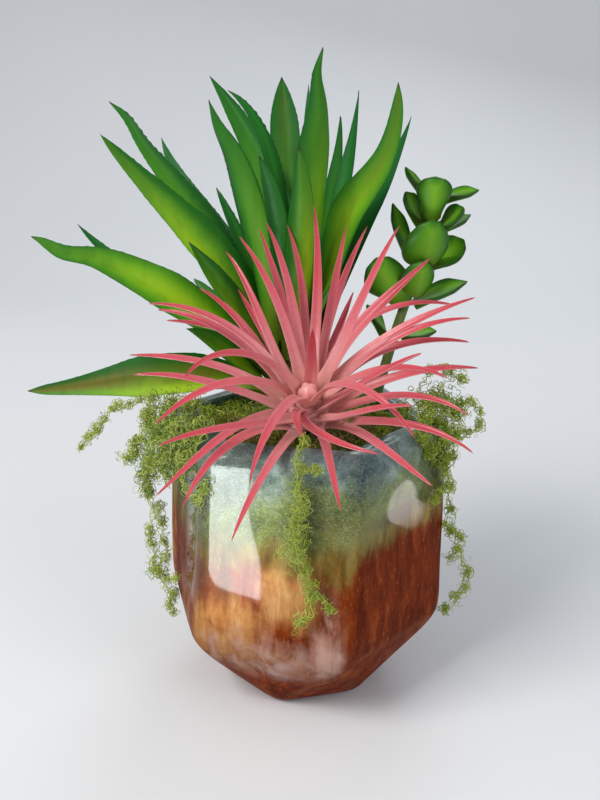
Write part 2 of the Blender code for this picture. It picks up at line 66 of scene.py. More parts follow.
# From aloe_leaf_01 on: root height, azimuths and elevations at root, middle and tip, roll at
# middle and tip, length, width, outline, then colouring: where the bright band runs across the
# leaf (-1 to 1), partly its own paler colour and partly painted light with painted shade away
# from it, and from 0 to 1 how yellow, how bluish, how rusty and how toothed it is.
ALOE_LEAVES = [
    (82, (183, 184, 181), (25, -6, -3), (-60, -65), 71, 12, "late", 0.7, 0.95, 0, 1, 0.1),
    (87, (196, 187, 178), (46, 32, 12), (-50, -60), 77, 12.5, "late", 0, 1, 0, 0, 0.1),
    (86, (160, 163, 167), (40, 28, 47), (-40, -50), 74, 7, "slim", 0, 0.1, 0.6, 0, 0.3),
    (91, (187, 187, 176), (77, 48.5, 49), (-60, -60), 77.5, 12, "slim", 0.5, 1, 0, 0.1, 0.6),
    (89, (149, 157, 162), (66, 51, 45), (-40, -50), 90, 9.5, "late", 0.4, 0.4, 0.3, 0, 1),
    (87, (115, 139, 126), (67, 40, 57), (-40, -40), 86.5, 8, "spear", 0, 0, 0.8, 0, 0.2),
    (95.5, (134, 138, 143), (64, 58, 56), (-10, -30), 49, 6.5, "slim", 0, 0.1, 0.7, 0, 0.2),
    (97, (87, 130, 146), (80, 59, 46), (-30, -40), 83, 9, "spear", 0.3, 0.2, 0.3, 0, 0.4),
    (95.6, (204, 187, 188), (82, 76.5, 65), (48, 42), 68.5, 10, "spear", 0.5, 0.3, 0.3, 0, 0.6),
    (99.5, (138, 146, 140), (86, 83, 21), (-20, -20), 71.5, 7, "slim", 0.2, 0, 0.3, 0, 0.8),
    (91, (88, 99, 100), (75, 67, 70), (0, 0), 83, 10, "blunt", 0.2, 0.15, 0.3, 0.3, 0.2),
    (87, (72, 89, 86), (61, 69, 70), (0, 0), 86, 6, "slim", 0, 0, 0.8, 0, 0),
    (98, (312, 296, 286), (83, 82, 76), (0, 0), 77, 9.2, "broad", 0.3, 0.55, 0.1, 0, 0.1),
    (93, (284, 281, 245), (79, 74.5, 75.5), (0, 0), 60, 8, "spear", 0.5, 1, 0, 0, 0),
    (95, (54, 54, 59), (76, 68, 97), (-20, -20), 66, 7, "broad", 0, 0.05, 0.5, 0.1, 0.1),
    (94, (22, 39, 50), (79, 73, 87), (0, 0), 73, 5.5, "broad", 0, 0, 0.8, 0, 0.1),
    (92.2, (-26, -15, 7), (81, 64, 98), (50, 60), 79, 13, "late", -0.1, 0.75, 0, 0.35, 0),
    (84.5, (-2, 5, 10), (77, 66, 77), (45, 45), 79, 7.2, "broad", 0, 0, 1, 0, 0),
    (98.3, (261, 243.5, 214), (82.5, 75.5, 67), (0, 10), 52, 7, "blunt", 1, 0, 0.35, 0, 1),
    (88.5, (236, 207, 192), (57, 54, 57), (-40, -50), 47, 9, "spear", 0.4, 0.7, 0, 0.1, 0.1),
    (82.4, (226, 208, 196), (40, 42, 22), (-40, -50), 35, 8, "spear", 0.3, 1, 0, 0, 0.1),
    (83, (75, 80, 84), (40, 26, 10), (0, 0), 60, 9, "late", 0, 0.4, 0.1, 0.1, 0.3),
    (83, (130, 126, 120), (38, 24, 12), (0, 0), 56, 9, "late", 0, 0.3, 0.2, 0.1, 0.3),
]
# Leaves that swing sideways on their way, by number: how far, where along them, over what share.
ALOE_BOWS = {
    2: (2.0, 0.88, 0.08),
    5: (-1.5, 0.93, 0.08),
    9: (-1.5, 0.91, 0.09),
    13: (-1.2, 0.92, 0.07),
    17: (5.0, 0.53, 0.17),
    18: (2.2, 0.6, 0.25),
}

# ---------------------------------------------------------------- tillandsia
PINK_FOOT = (0.5, -13.0, 84.0)
PINK_LEAN = 38.0
PINK_RING_STEP = 1.7
PINK_RING_R = 7.0
PINK_SEAT = 0.6
PINK_STATIONS = 8
# Rings from the lowest up, each leaf: azimuths, elevations (root, middle, tip), length.
PINK_RINGS = [
    [((250, 248, 252), (50, 15, -11), 44), ((224, 231, 253), (48, 22, -19), 45),
     ((159, 174, 180), (45, 16, -3), 44), ((120, 163, 174), (43, 18, -5), 42),
     ((138, 136, 158), (46, 34, 11), 38), ((123, 127, 123), (45, 31, 22), 32),
     ((69, 67, 68), (46, 32, 22), 29), ((78, 68, 57), (45, 41, 34), 46),
     ((73, 25, -15), (45, 22, -1), 48), ((13, 11, 10), (46, 12, -21), 42),
     ((-32, -26, -43), (44, 28, -6), 44), ((-40, -55, -46), (50, 29, 12), 44)],
    [((208, 228, 223), (48, 10, -14), 46), ((191, 181, 184), (48, 26, -7), 43),
     ((144, 154, 171), (50, 22, -11), 44), ((106, 112, 117), (50, 43, 32), 44),
     ((94, 98, 118), (50, 43, 32), 44), ((73, 78, 75), (50, 44, 34), 44),
     ((62, 35, 32), (49, 38, 35), 46), ((39, 13, -6), (51, 18, -6), 43),
     ((-16, -22, -45), (49, 37, 2), 44), ((-74, -82, -79), (53, 31, 8), 44)],
    [((240, 210, 212), (45, 29, -1), 45), ((142, 159, 185), (54, 28, -1), 47),
     ((138, 117, 125), (54, 28, -4), 44), ((102, 108, 124), (55, 46, 34), 45),
     ((83, 89, 102), (55, 48, 38), 48), ((34, 21, 13), (54, 29, 13), 48),
     ((28, 19, 1), (54, 29, 0), 45), ((-58, -41, -32), (47, 55, 38), 44)],
    [((256, 268, 284), (60, 50, 36), 44), ((180, 208, 228), (64, 18, -13), 44),
     ((114, 119, 131), (60, 39, 14), 44), ((46, 56, 52), (57, 48, 36), 48),
     ((2, -21, -47), (59, 43, 20), 43), ((-32, -22, -15), (57, 59, 47), 43),
     ((-108, -60, -18), (56, 35, 13), 44)],
    [((250, 248, 262), (75, 25, -15), 45), ((163, 203, 250), (69, 40, 8), 44),
     ((80, 86, 95), (76, 90, 100), 25), ((-43, -44, -55), (80, 35, -28), 45)],
]
PINK_WIDE = {(2, 7): 4.2, (5, 3): 3.0}      # leaves wider than the rest: (ring, leaf): width
PINK_WIDTH, PINK_THICK = 2.7, 0.95

# ---------------------------------------------------------------- crassula
JADE_ROUTE = [(17, 8, 44), (19, 9, 74), (23.5, 9.5, 96), (28.5, 10, 114), (32, 10, 128), (34, 10, 141)]
JADE_STEM_R = (1.6, 1.1)
JADE_THICK = 2.0
JADE_GAP = 0.45
JADE_STATIONS = 7
# From crassula_leaf_01 on: height on the stem, azimuth, elevations at root and tip, roll,
# length, width.
JADE_LEAVES = [
    (99, 352, (20, 8), 20, 10, 6),
    (100, 185, (60, 52), -30, 10, 5),
    (108.5, 358, (30, 20), 20, 16, 8),
    (109.2, 213, (52, 62), 66, 15.5, 12),
    (112.2, 287, (54, 70), 0, 11, 10.5),
    (121.5, 170, (62, 74), -35, 15.5, 5.5),
    (120.5, 282, (48, 78), 0, 14, 13),
    (119, 12, (28, 40), 40, 13, 10),
    (130.5, 192, (55, 66), -40, 10, 7),
    (129, 338, (38, 50), 30, 9.5, 9),
    (129, 30, (12, 20), 20, 13, 5),
    (131, 90, (50, 60), 0, 10, 8),
    (132.5, 265, (66, 84), 0, 11.5, 9.5),
    (138.5, 180, (40, 55), -30, 9.5, 3),
    (137.5, 2, (18, 8), 30, 10, 4.5),
]
# By number: how full a leaf is at its foot, how far up it is widest and how blunt its end is.
JADE_SHAPES = {
    4: (0.20, 1.2, 9),
    5: (0.26, 1.0, 9),
    7: (0.27, 1.0, 10),
    8: (0.20, 1.2, 9),
    9: (0.14, 1.5, 6),
    10: (0.16, 1.5, 9),
    12: (0.16, 1.5, 9),
    13: (0.12, 1.9, 14),
}

# ---------------------------------------------------------------- moss
# Each piece: the routes its main threads follow, then its balls of curled thread, each a
# centre with the reach of its curls and how dense it is (a low number is a few open rings).
MOSS = {
    "moss_clump_left": (
        [[(-24, -11, 82), (-31, -12, 85), (-38, -12, 84), (-41.5, -11, 79), (-42, -12, 70), (-43, -10, 60)],
         [(-32, -21, 69), (-30, -25, 66.5), (-27, -28.5, 64.8), (-24.8, -30, 68), (-23.4, -30.5, 72.5)],
         [(-41, -10, 86.5), (-42, -11, 82), (-43.5, -12, 76), (-45.5, -12, 73), (-47, -12, 69.5)]],
        [(-41, -10, 86, 1.5, 0.7), (-42, -11, 82.5, 1.9, 1), (-41.5, -12, 79.5, 2.2, 1),
         (-35.5, -10, 85.6, 2, 1), (-30, -12, 84.5, 3.2, 1), (-25, -13, 82.5, 2.6, 1),
         (-36.5, -14, 83, 3.4, 1), (-36.3, -18, 80.5, 3.4, 1), (-32, -21, 80.5, 4, 1),
         (-29, -24, 78, 3.2, 1), (-26.5, -22.5, 82.4, 2.6, 1), (-30.5, -24, 73.4, 2.8, 1),
         (-33.5, -21, 75.5, 4.2, 1), (-39.5, -15, 76.5, 3.2, 1), (-37.6, -17.5, 72.5, 4.2, 1),
         (-35.5, -18.5, 68.4, 3, 0.9), (-41.5, -12, 68, 3, 1), (-42.9, -11, 64, 2.7, 1),
         (-43.3, -10, 59.4, 2, 0.9), (-43.3, -12, 75, 1.2, 0.7), (-45.4, -12, 74, 1.6, 0.8),
         (-45.4, -12, 71, 1.6, 0.8), (-47.4, -12, 69.3, 1.9, 0.7), (-32, -22, 69, 1.2, 0.6),
         (-29.5, -26, 66.3, 0.9, 0.5), (-27, -28.6, 65.3, 1.6, 0.8), (-24.4, -30.4, 69, 1.4, 0.8)]),
    "moss_clump_right": (
        [[(22, -9, 81.5), (29, -9, 84.3), (36, -7, 84.6), (41.5, -5, 80), (40, -9, 74), (38, -12, 68)],
         [(30, -2, 86), (34, 0, 92), (38.5, 0, 93), (43, 0, 90.5)]],
        [(34, 0, 92.2, 1.5, 0.4), (38.3, 0, 92.3, 2, 0.6), (42.6, 0, 90, 1.5, 0.4), (26, -9, 83, 2.6, 1),
         (31.8, -8, 86, 3, 1), (36.2, -5, 85.4, 3.8, 1), (40.9, -4, 82.5, 3.2, 1),
         (31.6, -12, 82.6, 2.8, 1), (36.2, -8, 80, 3.4, 1), (30, -17, 79, 2.2, 1),
         (33, -15.5, 75, 2.4, 0.9), (37, -11, 76, 3, 1), (40.5, -6.5, 76.5, 2.6, 1),
         (39.5, -9, 71, 2, 0.9), (37, -13, 70, 1.8, 0.8)]),
    "moss_strand_left": (
        [[(-43, -9, 60), (-42.4, -9, 55), (-41.8, -8.5, 50), (-43, -8, 45.7), (-42.6, -8, 42),
          (-42, -8, 38.5), (-42, -8, 35.4), (-41, -8, 32), (-39.4, -8, 31), (-38.4, -8, 28),
          (-37, -8, 25.6), (-38, -8, 22.5), (-37, -8, 19.3)],
         [(-40, -8, 31.5), (-37, -11, 32.2), (-33.5, -19, 37.6)],
         [(-40.5, -8.5, 52), (-39.6, -8, 47), (-38.6, -8, 42), (-38.8, -8, 37), (-40.5, -8, 33)]],
        [(-42.5, -9, 57.3, 1.5, 0.8), (-40.2, -9, 53.6, 1.9, 0.9), (-39.9, -8, 49, 1.5, 0.8),
         (-43, -8, 46.2, 1.7, 0.9), (-42.6, -8, 42.2, 1.4, 0.8), (-38.9, -8, 42.6, 1, 0.4),
         (-38.8, -8, 37.6, 1.5, 0.7), (-42.4, -8, 35.6, 2.1, 0.5), (-41.4, -8, 32.6, 1.9, 1),
         (-36.8, -8, 25.8, 1.9, 0.9), (-38, -8, 22.6, 1.3, 0.9), (-37, -8, 19.8, 0.8, 0.8),
         (-35.2, -15, 34.8, 0.6, 0.8)]),
    "moss_strand_front": (
        [[(0.5, -24, 79.6), (0, -29, 82.4), (-0.6, -33, 83), (-1.5, -36, 80), (-1.6, -38.2, 74),
          (-1, -38.8, 68), (-1.4, -39.2, 58), (1.2, -39.8, 50), (2.6, -40.2, 43), (1.2, -40, 39),
          (-0.2, -39.6, 36.4)],
         [(-1.4, -38, 77), (1.2, -38.6, 78.6), (3.6, -39, 78)],
         [(2.4, -40, 46), (5.4, -40.4, 44.4), (7.6, -40.6, 41)]],
        [(-1.4, -37.6, 78.4, 0.8, 0.7), (-1.5, -38, 73, 1.3, 0.7), (-1, -38.8, 69.6, 2.5, 0.8),
         (-1.2, -38.8, 66.4, 2.4, 0.8), (-1.4, -39, 61.6, 2.8, 0.8), (-1.9, -39, 57.8, 3.4, 0.8),
         (-0.6, -39.2, 54.4, 2.5, 0.8), (0.8, -39.6, 51, 1.6, 0.8), (1.7, -39.8, 48, 1.9, 0.8),
         (2.4, -40, 44.6, 1.7, 0.8), (-0.3, -39.6, 37.4, 1.7, 1), (3.4, -39, 78, 0.8, 0.6),
         (7.4, -40.6, 41.6, 0.8, 0.4)]),
    "moss_strand_right": (
        [[(37.5, -12.5, 70), (39.8, -9.5, 62), (41, -6, 53), (41.6, -5, 46), (44.3, -4, 41), (46.5, -4, 36),
          (48, -4, 31), (46.5, -4, 26.5), (43.5, -4, 22), (41.6, -4, 19.4)],
         [(39, -11, 63), (36.5, -14, 62), (34.8, -15.8, 60)],
         [(41.6, -5, 47), (43.5, -4.5, 46), (45.6, -4, 43)]],
        [(38, -12, 67, 1.5, 0.8), (39.6, -10, 62.4, 1.7, 0.9), (35, -15.6, 61, 1.6, 0.4),
         (40.9, -6.5, 54, 1.6, 0.9), (39, -9.5, 50.5, 0.9, 0.5), (41.8, -5, 46, 1.1, 0.8),
         (45.2, -4, 44.2, 1.3, 0.5), (44.4, -4, 39.8, 1.6, 0.9), (42.8, -4, 37.2, 1.3, 0.8),
         (48, -4, 33.2, 1.5, 0.8), (47.6, -4, 28.2, 1.6, 0.9), (44.8, -4, 25, 1.3, 0.9),
         (41.9, -4, 20.6, 1.3, 0.9)]),
    "moss_tendril_left": (
        [[(-42.5, -5, 84), (-47.8, -5, 82), (-52.3, -5, 81.4), (-55, -5, 77.6), (-57.2, -5, 74.4),
          (-59.8, -5, 72), (-62, -5, 68.8)]],
        [(-45, -5, 83.6, 1, 0.6), (-48, -5, 82.4, 1, 0.6), (-50.6, -5, 82, 0.9, 0.5),
         (-52.6, -5, 81, 1.1, 0.5), (-55.2, -5, 77.8, 0.9, 0.6), (-57.2, -5, 75, 1.6, 0.45),
         (-59.6, -5, 72.6, 1.5, 0.45), (-61.8, -5, 69.4, 0.6, 0.8)]),
    "moss_tendril_right": (
        [[(42, -3, 83.5), (45.2, -2, 84.7), (47.7, -2, 81.1), (48.3, -2, 77), (45.6, -2, 75.2),
          (43.2, -2, 75.8)]],
        [(45, -2, 84.4, 1, 0.6), (47.6, -2, 81.4, 0.9, 0.6), (48.1, -2, 77.4, 1.2, 0.6),
         (45.6, -2, 75.6, 0.8, 0.6), (43.3, -2, 75.8, 0.8, 0.6)]),
    "moss_tuft_front": (
        [[(8, -24, 79), (13, -19, 79.8), (17, -13, 79.6)]],
        [(8, -24, 80, 1.8, 0.8), (10.5, -22, 80.6, 2, 0.9), (13, -19, 80.8, 2.2, 0.9),
         (17, -13, 80.6, 1.8, 0.8), (11, -22, 85.5, 1.5, 0.4)]),
    "moss_tuft_side": (
        [[(-14, -21, 79), (-17, -17, 79.8), (-19, -13, 79.4)]],
        [(-14, -21, 80, 1.8, 0.8), (-17, -17, 80.8, 2.2, 0.9), (-19, -13, 80.4, 1.8, 0.8)]),
}
MOSS_RIGHT_LIMIT = 49.6     # no thread reaches further to the right than the CAD does
OPEN_BALL = 0.55            # balls less dense than this get more open rings
BED_LOW_Z, BED_Z, BED_TOP_Z, BED_R = 69.5, 76.2, 78.0, 27.6


# ================================================================ meshes

SWEEP_STEPS, FINE_STEPS = 6, 800    # a CAD leaf's steps per station, and this script's per leaf
TIP_SHARE = 0.9993          # how far along its CAD path a leaf goes, to stay in the CAD's box


def placed(name, data):
    """A new object, put in the scene."""
    made = bpy.data.objects.new(name, data)
    bpy.context.scene.collection.objects.link(made)
    return made


def new_mesh(name, verts, faces, finish):
    """A mesh from vertices in metres, with one material."""
    mesh = bpy.data.meshes.new(name)
    mesh.from_pydata(verts, [], faces)
    mesh.materials.append(finish)
    return mesh


def write_mesh(name, verts, faces, finish, marks, replaced, slot):
    """A piece from vertices in millimetres; marks are named values per vertex for the material."""
    mesh = new_mesh(name, (np.asarray(verts, float) * MM).tolist(), faces, finish)
    for mark, values in marks.items():
        layer = mesh.attributes.new(mark, "FLOAT", "POINT")
        layer.data.foreach_set("value", np.asarray(values, np.float32).ravel())
    mesh.shade_smooth()
    mesh.validate()
    made = placed(name, mesh)
    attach(made, BODY)
    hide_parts(*replaced)


def loft(rings, start=0, tip=None):
    """Vertices and faces of a closed skin over rings (K, M, 3); tip closes it at a point."""
    count, around = rings.shape[:2]
    verts = rings.reshape(-1, 3)
    index = np.arange(count * around).reshape(count, around)
    low, high = index[:-1], index[1:]
    quads = np.stack([low, np.roll(low, -1, 1), np.roll(high, -1, 1), high], -1).reshape(-1, 4) + start
    faces = quads.tolist()
    faces.append((index[0][::-1] + start).tolist())
    if tip is None:
        faces.append((index[-1] + start).tolist())
    else:
        verts = np.vstack([verts, tip])
        end = count * around + start
        last = index[-1] + start
        faces += [[int(last[i]), int(last[(i + 1) % around]), end] for i in range(around)]
    return verts, faces


class Joined:
    """Several skins gathered into one mesh, with named values for each vertex."""

    def __init__(self):
        self.verts, self.faces, self.marks, self.size = [], [], {}, 0

    def add(self, rings, tip=None, **marks):
        verts, faces = loft(rings, self.size, tip)
        self.verts.append(verts)
        self.faces += faces
        self.size += len(verts)
        for mark, values in marks.items():
            values = np.broadcast_to(values, rings.shape[:2]).ravel()
            if tip is not None:
                values = np.append(values, values[-1])
            self.marks.setdefault(mark, []).append(values)

    def write(self, name, finish, replaced, slot):
        marks = {mark: np.concatenate(values) for mark, values in self.marks.items()}
        write_mesh(name, np.vstack(self.verts), self.faces, finish, marks, replaced, slot)


def unit(v):
    return v / np.linalg.norm(v, axis=-1, keepdims=True)


def circle(count):
    """Angles that go once around."""
    return np.linspace(0, 2 * math.pi, count, endpoint=False)


def through(values, s):
    """The quadratic that takes the three values at s = 0, 0.5 and 1."""
    root, middle, tip = values
    return root * (2 * s - 1) * (s - 1) - 4 * middle * s * (s - 1) + tip * s * (2 * s - 1)


def leaf_places(count):
    """Places along a leaf, from 0 at its root almost to 1 at its tip."""
    return np.linspace(0, TIP_SHARE, count + 1)


def root_at(axis, reach, azimuth, z):
    """A leaf's root, at a distance from its stem's axis."""
    turn = math.radians(azimuth)
    return axis[0] + reach * math.cos(turn), axis[1] + reach * math.sin(turn), z


def leaf_path(root, azimuths, elevations, rolls, length, stations, places, bow=(0, 1, 1)):
    """Points, side and upper directions at all places but the last, and the tip there.

    The CAD leaf is swept in SWEEP_STEPS per station, so its points lag half a step. The bow is a
    swing sideways: how far, where along the leaf and over what share of it.
    """
    def along(s):
        a, e = np.radians(through(azimuths, s)), np.radians(through(elevations, s))
        return np.stack([np.cos(e) * np.cos(a), np.cos(e) * np.sin(a), np.sin(e)], -1)

    fine = np.linspace(0, 1, FINE_STEPS + 1)
    middle = along((fine[1:] + fine[:-1]) / 2) * length / FINE_STEPS
    exact = np.vstack([np.zeros(3), np.cumsum(middle, 0)])
    lag = length / (stations * SWEEP_STEPS) / 2
    heading = along(places)
    points = np.stack([np.interp(places, fine, exact[:, k]) for k in range(3)], -1)
    points = points + np.asarray(root) - lag * (heading - along(np.zeros(1)))
    a = np.radians(through(azimuths, places))
    side = np.stack([-np.sin(a), np.cos(a), np.zeros_like(a)], -1)
    roll = np.radians(through((0, *rolls), places))[:, None]
    side = side * np.cos(roll) + np.cross(heading, side) * np.sin(roll)
    far, place, share = bow
    points = points + side * (far * np.exp(-((places - place) / share) ** 2))[:, None]
    return points[:-1], side[:-1], np.cross(heading, side)[:-1], points[-1]


def leaf_rings(points, side, up, a, b):
    """Rings of a leaf: a is how far out to its side each point lies, and b how far up."""
    return points[:, None, :] + side[:, None, :] * a[..., None] + up[:, None, :] * b[..., None]


def around_leaf(count):
    """A ring's places across a leaf, from -1 to 1 over its upper face and back under it.

    With them comes which face each is on, 1 for the upper and -1 for the lower. Both are rows,
    so that they combine with columns of values along the leaf.
    """
    over = np.sin(np.linspace(-math.pi / 2, math.pi / 2, count))
    face = np.concatenate([np.ones(count), -np.ones(count - 2)])
    return np.concatenate([over, over[-2:0:-1]])[None], face[None]


# ================================================================ materials

class Nodes:
    """Short calls for building a material's nodes."""

    def __init__(self, name):
        self.made = bpy.data.materials.new(name)
        self.made.use_nodes = True
        self.tree = self.made.node_tree
        self.shader = self.tree.nodes["Principled BSDF"]

    def node(self, kind, **settings):
        made = self.tree.nodes.new("ShaderNode" + kind)
        for key, value in settings.items():
            setattr(made, key, value)
        return made

    def plug(self, socket, value):
        if isinstance(value, bpy.types.NodeSocket):
            self.tree.links.new(value, socket)
        else:
            socket.default_value = value

    def mark(self, name):
        """A value that the mesh carries for each vertex."""
        return self.node("Attribute", attribute_name=name).outputs["Fac"]

    def marks(self, *names):
        return [self.mark(name) for name in names]

    def math(self, operation, a, b=0.0):
        made = self.node("Math", operation=operation)
        self.plug(made.inputs[0], a)
        self.plug(made.inputs[1], b)
        return made.outputs[0]

    def times(self, a, b):
        return self.math("MULTIPLY", a, b)

    def plus(self, a, b):
        return self.math("ADD", a, b)

    def away(self, value):
        """The distance from zero."""
        return self.math("ABSOLUTE", value)

    def waver(self, noise, amount):
        """A noise as a push either way."""
        return self.times(self.math("SUBTRACT", noise, 0.5), amount)

    def most(self, first, *others):
        for other in others:
            first = self.math("MAXIMUM", first, other)
        return first

    def place(self, scale=(1, 1, 1), turn=(0, 0, 0)):
        mapping = self.node("Mapping")
        self.plug(mapping.inputs["Vector"], self.node("TexCoord").outputs["Object"])
        mapping.inputs["Scale"].default_value = scale
        mapping.inputs["Rotation"].default_value = turn
        return mapping.outputs[0]

    def noise(self, scale, detail=3.0, rough=0.5, warp=0.0, at=None):
        made = self.node("TexNoise")
        self.plug(made.inputs["Vector"], at if at is not None else self.place())
        for key, number in (("Scale", scale), ("Detail", detail), ("Roughness", rough), ("Distortion", warp)):
            made.inputs[key].default_value = number
        return made.outputs["Fac"]

    def spread(self, value, low, high, to=(0.0, 1.0), smooth=True):
        """A value from low to high taken to the range of to, and held at its ends."""
        made = self.node("MapRange", interpolation_type="SMOOTHSTEP" if smooth else "LINEAR")
        self.plug(made.inputs["Value"], value)
        for key, number in (("From Min", low), ("From Max", high), ("To Min", to[0]), ("To Max", to[1])):
            made.inputs[key].default_value = number
        return made.outputs["Result"]

    def flakes(self, scale):
        """A random brightness for each small cell."""
        cells = self.node("TexVoronoi")
        self.plug(cells.inputs["Vector"], self.place())
        cells.inputs["Scale"].default_value = scale
        split = self.node("SeparateColor")
        self.plug(split.inputs[0], cells.outputs["Color"])
        return split.outputs[0]

    def near(self, centre, reach):
        """1 around a centre in millimetres, fading out raggedly at the reach along each axis."""
        vector = self.place()
        for operation, numbers in (("SUBTRACT", centre), ("DIVIDE", reach)):
            step = self.node("VectorMath", operation=operation)
            self.plug(step.inputs[0], vector)
            step.inputs[1].default_value = [number * MM for number in numbers]
            vector = step.outputs[0]
        size = self.node("VectorMath", operation="LENGTH")
        self.plug(size.inputs[0], vector)
        ragged = self.waver(self.noise(120, 4, 0.6), 1.2)
        return self.spread(self.plus(size.outputs["Value"], ragged), 1.25, 0.35)

    def ramp(self, value, stops):
        made = self.node("ValToRGB")
        self.plug(made.inputs[0], value)
        bar = made.color_ramp
        while len(bar.elements) < len(stops):
            bar.elements.new(0.5)
        for element, (position, colour) in zip(bar.elements, stops):
            element.position = position
            element.color = (*srgb(colour), 1)
        return made.outputs[0]

    def mix(self, share, a, b):
        made = self.node("Mix", data_type="RGBA", blend_type="MIX")
        self.plug(made.inputs["Factor"], share)
        for socket, colour in ((made.inputs[6], a), (made.inputs[7], b)):
            self.plug(socket, colour if isinstance(colour, bpy.types.NodeSocket) else (*srgb(colour), 1))
        return made.outputs[2]

    def lay(self, body, colour, share, strength):
        """A colour over another, by a share times a strength."""
        return self.mix(self.times(share, strength), body, colour)

    def bump(self, height, strength, distance=0.2):
        """A normal from a height; the distance is in millimetres."""
        made = self.node("Bump")
        made.inputs["Strength"].default_value = strength
        made.inputs["Distance"].default_value = distance * MM
        self.plug(made.inputs["Height"], height)
        return made.outputs[0]

    def finish(self, **sockets):
        for key, value in sockets.items():
            self.plug(self.shader.inputs[key.replace("_", " ")], value)
        return self.made

    def leaf(self, body, blotch, rough, height, strength, **sockets):
        """The finish of a leaf: satin, with some light passing through."""
        return self.finish(Base_Color=body, Roughness=self.spread(blotch, 0.2, 0.8, rough),
                           Normal=self.bump(height, strength), Subsurface_Scale=0.6, **sockets)


def srgb(colour):
    """0-255 display values to linear."""
    return tuple(((c / 255 + 0.055) / 1.055) ** 2.4 if c > 10 else c / 255 / 12.92 for c in colour)


def aloe_look():
    """Waxy leaves: a bright band along each, partly their own colour and partly painted light, with painted
    shade away from it, and darker towards the edges and the tip.
    """
    n = Nodes("aloe leaf")
    along, across, lit_band = n.marks("along", "across", "lit_band")
    yellow, blue, rust = n.marks("yellow", "blue", "rust")
    blotch = n.noise(130, 4, 0.6, 0.3)
    cloud = n.noise(45, 3, 0.5)
    streaks = n.noise(380, 3, 0.5, at=n.place((1, 1, 0.15)))
    # how far from the bright band: the band is partly painted light, and the colour darkens away from it as
    # painted shade
    away = n.plus(n.away(n.math("SUBTRACT", across, lit_band)), n.waver(blotch, 0.35))
    lit_green = n.mix(yellow, (74, 154, 36), (172, 208, 36))
    mid = n.mix(yellow, (40, 126, 26), (108, 174, 26))
    shaded_green = n.mix(yellow, (14, 72, 18), (32, 104, 20))
    body = n.mix(n.spread(away, 0.35, 1.35), mid, shaded_green)
    # painted light along the band, strongest towards the root
    body = n.lay(body, lit_green, n.spread(along, 0.95, 0.30), n.spread(away, 0.75, 0.0))
    body = n.lay(body, (26, 92, 34), n.spread(along, 0.45, 0.98), 0.65)
    body = n.lay(body, (18, 92, 46), blue, 0.55)
    warm = n.times(rust, n.spread(n.away(across), 0.85, 0.1))
    body = n.lay(body, (112, 104, 28), warm, n.spread(cloud, 0.3, 0.62, (0.35, 0.9)))
    foot = n.spread(n.plus(along, n.times(blotch, 0.15)), 0.36, 0.10)
    body = n.lay(body, (128, 138, 32), foot, 0.6)
    body = n.lay(body, (22, 74, 24), n.spread(streaks, 0.4, 0.75), 0.2)
    rim = n.spread(n.away(across), 0.9, 1.0)
    body = n.lay(body, (28, 62, 24), rim, n.spread(blotch, 0.3, 0.7, (0.2, 0.7)))
    spine = n.spread(n.plus(along, n.times(blotch, 0.02)), 0.982, 1.006)
    body = n.mix(spine, body, (52, 46, 34))
    height = n.plus(n.times(streaks, 0.7), n.times(n.noise(900, 2, 0.6), 0.3))
    return n.leaf(body, blotch, (0.38, 0.52), height, 0.2, Subsurface_Weight=0.12,
                  Subsurface_Radius=(0.002, 0.003, 0.001), Specular_IOR_Level=0.14)


def pink_look():
    """Soft coral plastic: pale and dusty at the base, red towards the tip."""
    n = Nodes("tillandsia leaf")
    along, across, tone, over = n.marks("along", "across", "tone", "over")
    blotch = n.noise(260, 4, 0.6, 0.4)
    fine = n.noise(1400, 2, 0.5)
    run = n.plus(along, n.waver(blotch, 0.22))
    body = n.ramp(run, [(0.0, (240, 196, 184)), (0.22, (230, 156, 154)), (0.5, (216, 112, 122)),
                        (0.78, (212, 84, 96)), (1.0, (196, 56, 70))])
    deep = n.ramp(run, [(0.0, (234, 180, 166)), (0.28, (216, 118, 122)), (0.65, (208, 76, 88)),
                        (1.0, (192, 46, 62))])
    body = n.mix(tone, body, deep)
    body = n.lay(body, (228, 160, 164), n.spread(n.away(across), 0.72, 1.0), 0.35)
    body = n.lay(body, (224, 150, 150), n.spread(over, 0.2, -0.6), 0.35)
    body = n.lay(body, (240, 190, 188), n.spread(fine, 0.55, 0.85), 0.18)
    tip = n.spread(n.plus(along, n.times(blotch, 0.04)), 0.985, 1.03)
    body = n.lay(body, (120, 40, 44), tip, 0.8)
    height = n.plus(n.times(n.noise(500, 2, 0.5), 0.6), n.times(fine, 0.4))
    return n.leaf(body, blotch, (0.26, 0.40), height, 0.25, Subsurface_Weight=0.18,
                  Subsurface_Radius=(0.003, 0.0012, 0.001))


def jade_look():
    """Plump mid-green leaves with a thin dark red edge."""
    n = Nodes("crassula leaf")
    along, across, tone = n.marks("along", "across", "tone")
    blotch = n.noise(220, 4, 0.6, 0.3)
    edge = n.most(n.away(across), n.spread(along, 0.75, 1.0, smooth=False))
    edge = n.plus(edge, n.waver(blotch, 0.25))
    # lighter in the middle and darker towards the edges: partly the leaf's own colour, partly a painted
    # highlight and painted shade
    body = n.ramp(edge, [(0.0, (124, 180, 36)), (0.45, (92, 154, 26)), (0.8, (52, 112, 18)),
                         (1.0, (32, 74, 16))])
    body = n.lay(body, (88, 108, 22), n.spread(along, 0.45, 0.0), 0.6)
    body = n.lay(body, (38, 98, 16), tone, 0.4)
    body = n.lay(body, (70, 34, 22), n.spread(edge, 0.93, 1.06), 0.6)
    height = n.plus(blotch, n.times(n.noise(1100, 2, 0.6), 0.3))
    return n.leaf(body, blotch, (0.36, 0.5), height, 0.2, Subsurface_Weight=0.12,
                  Subsurface_Radius=(0.002, 0.003, 0.001), Specular_IOR_Level=0.2)


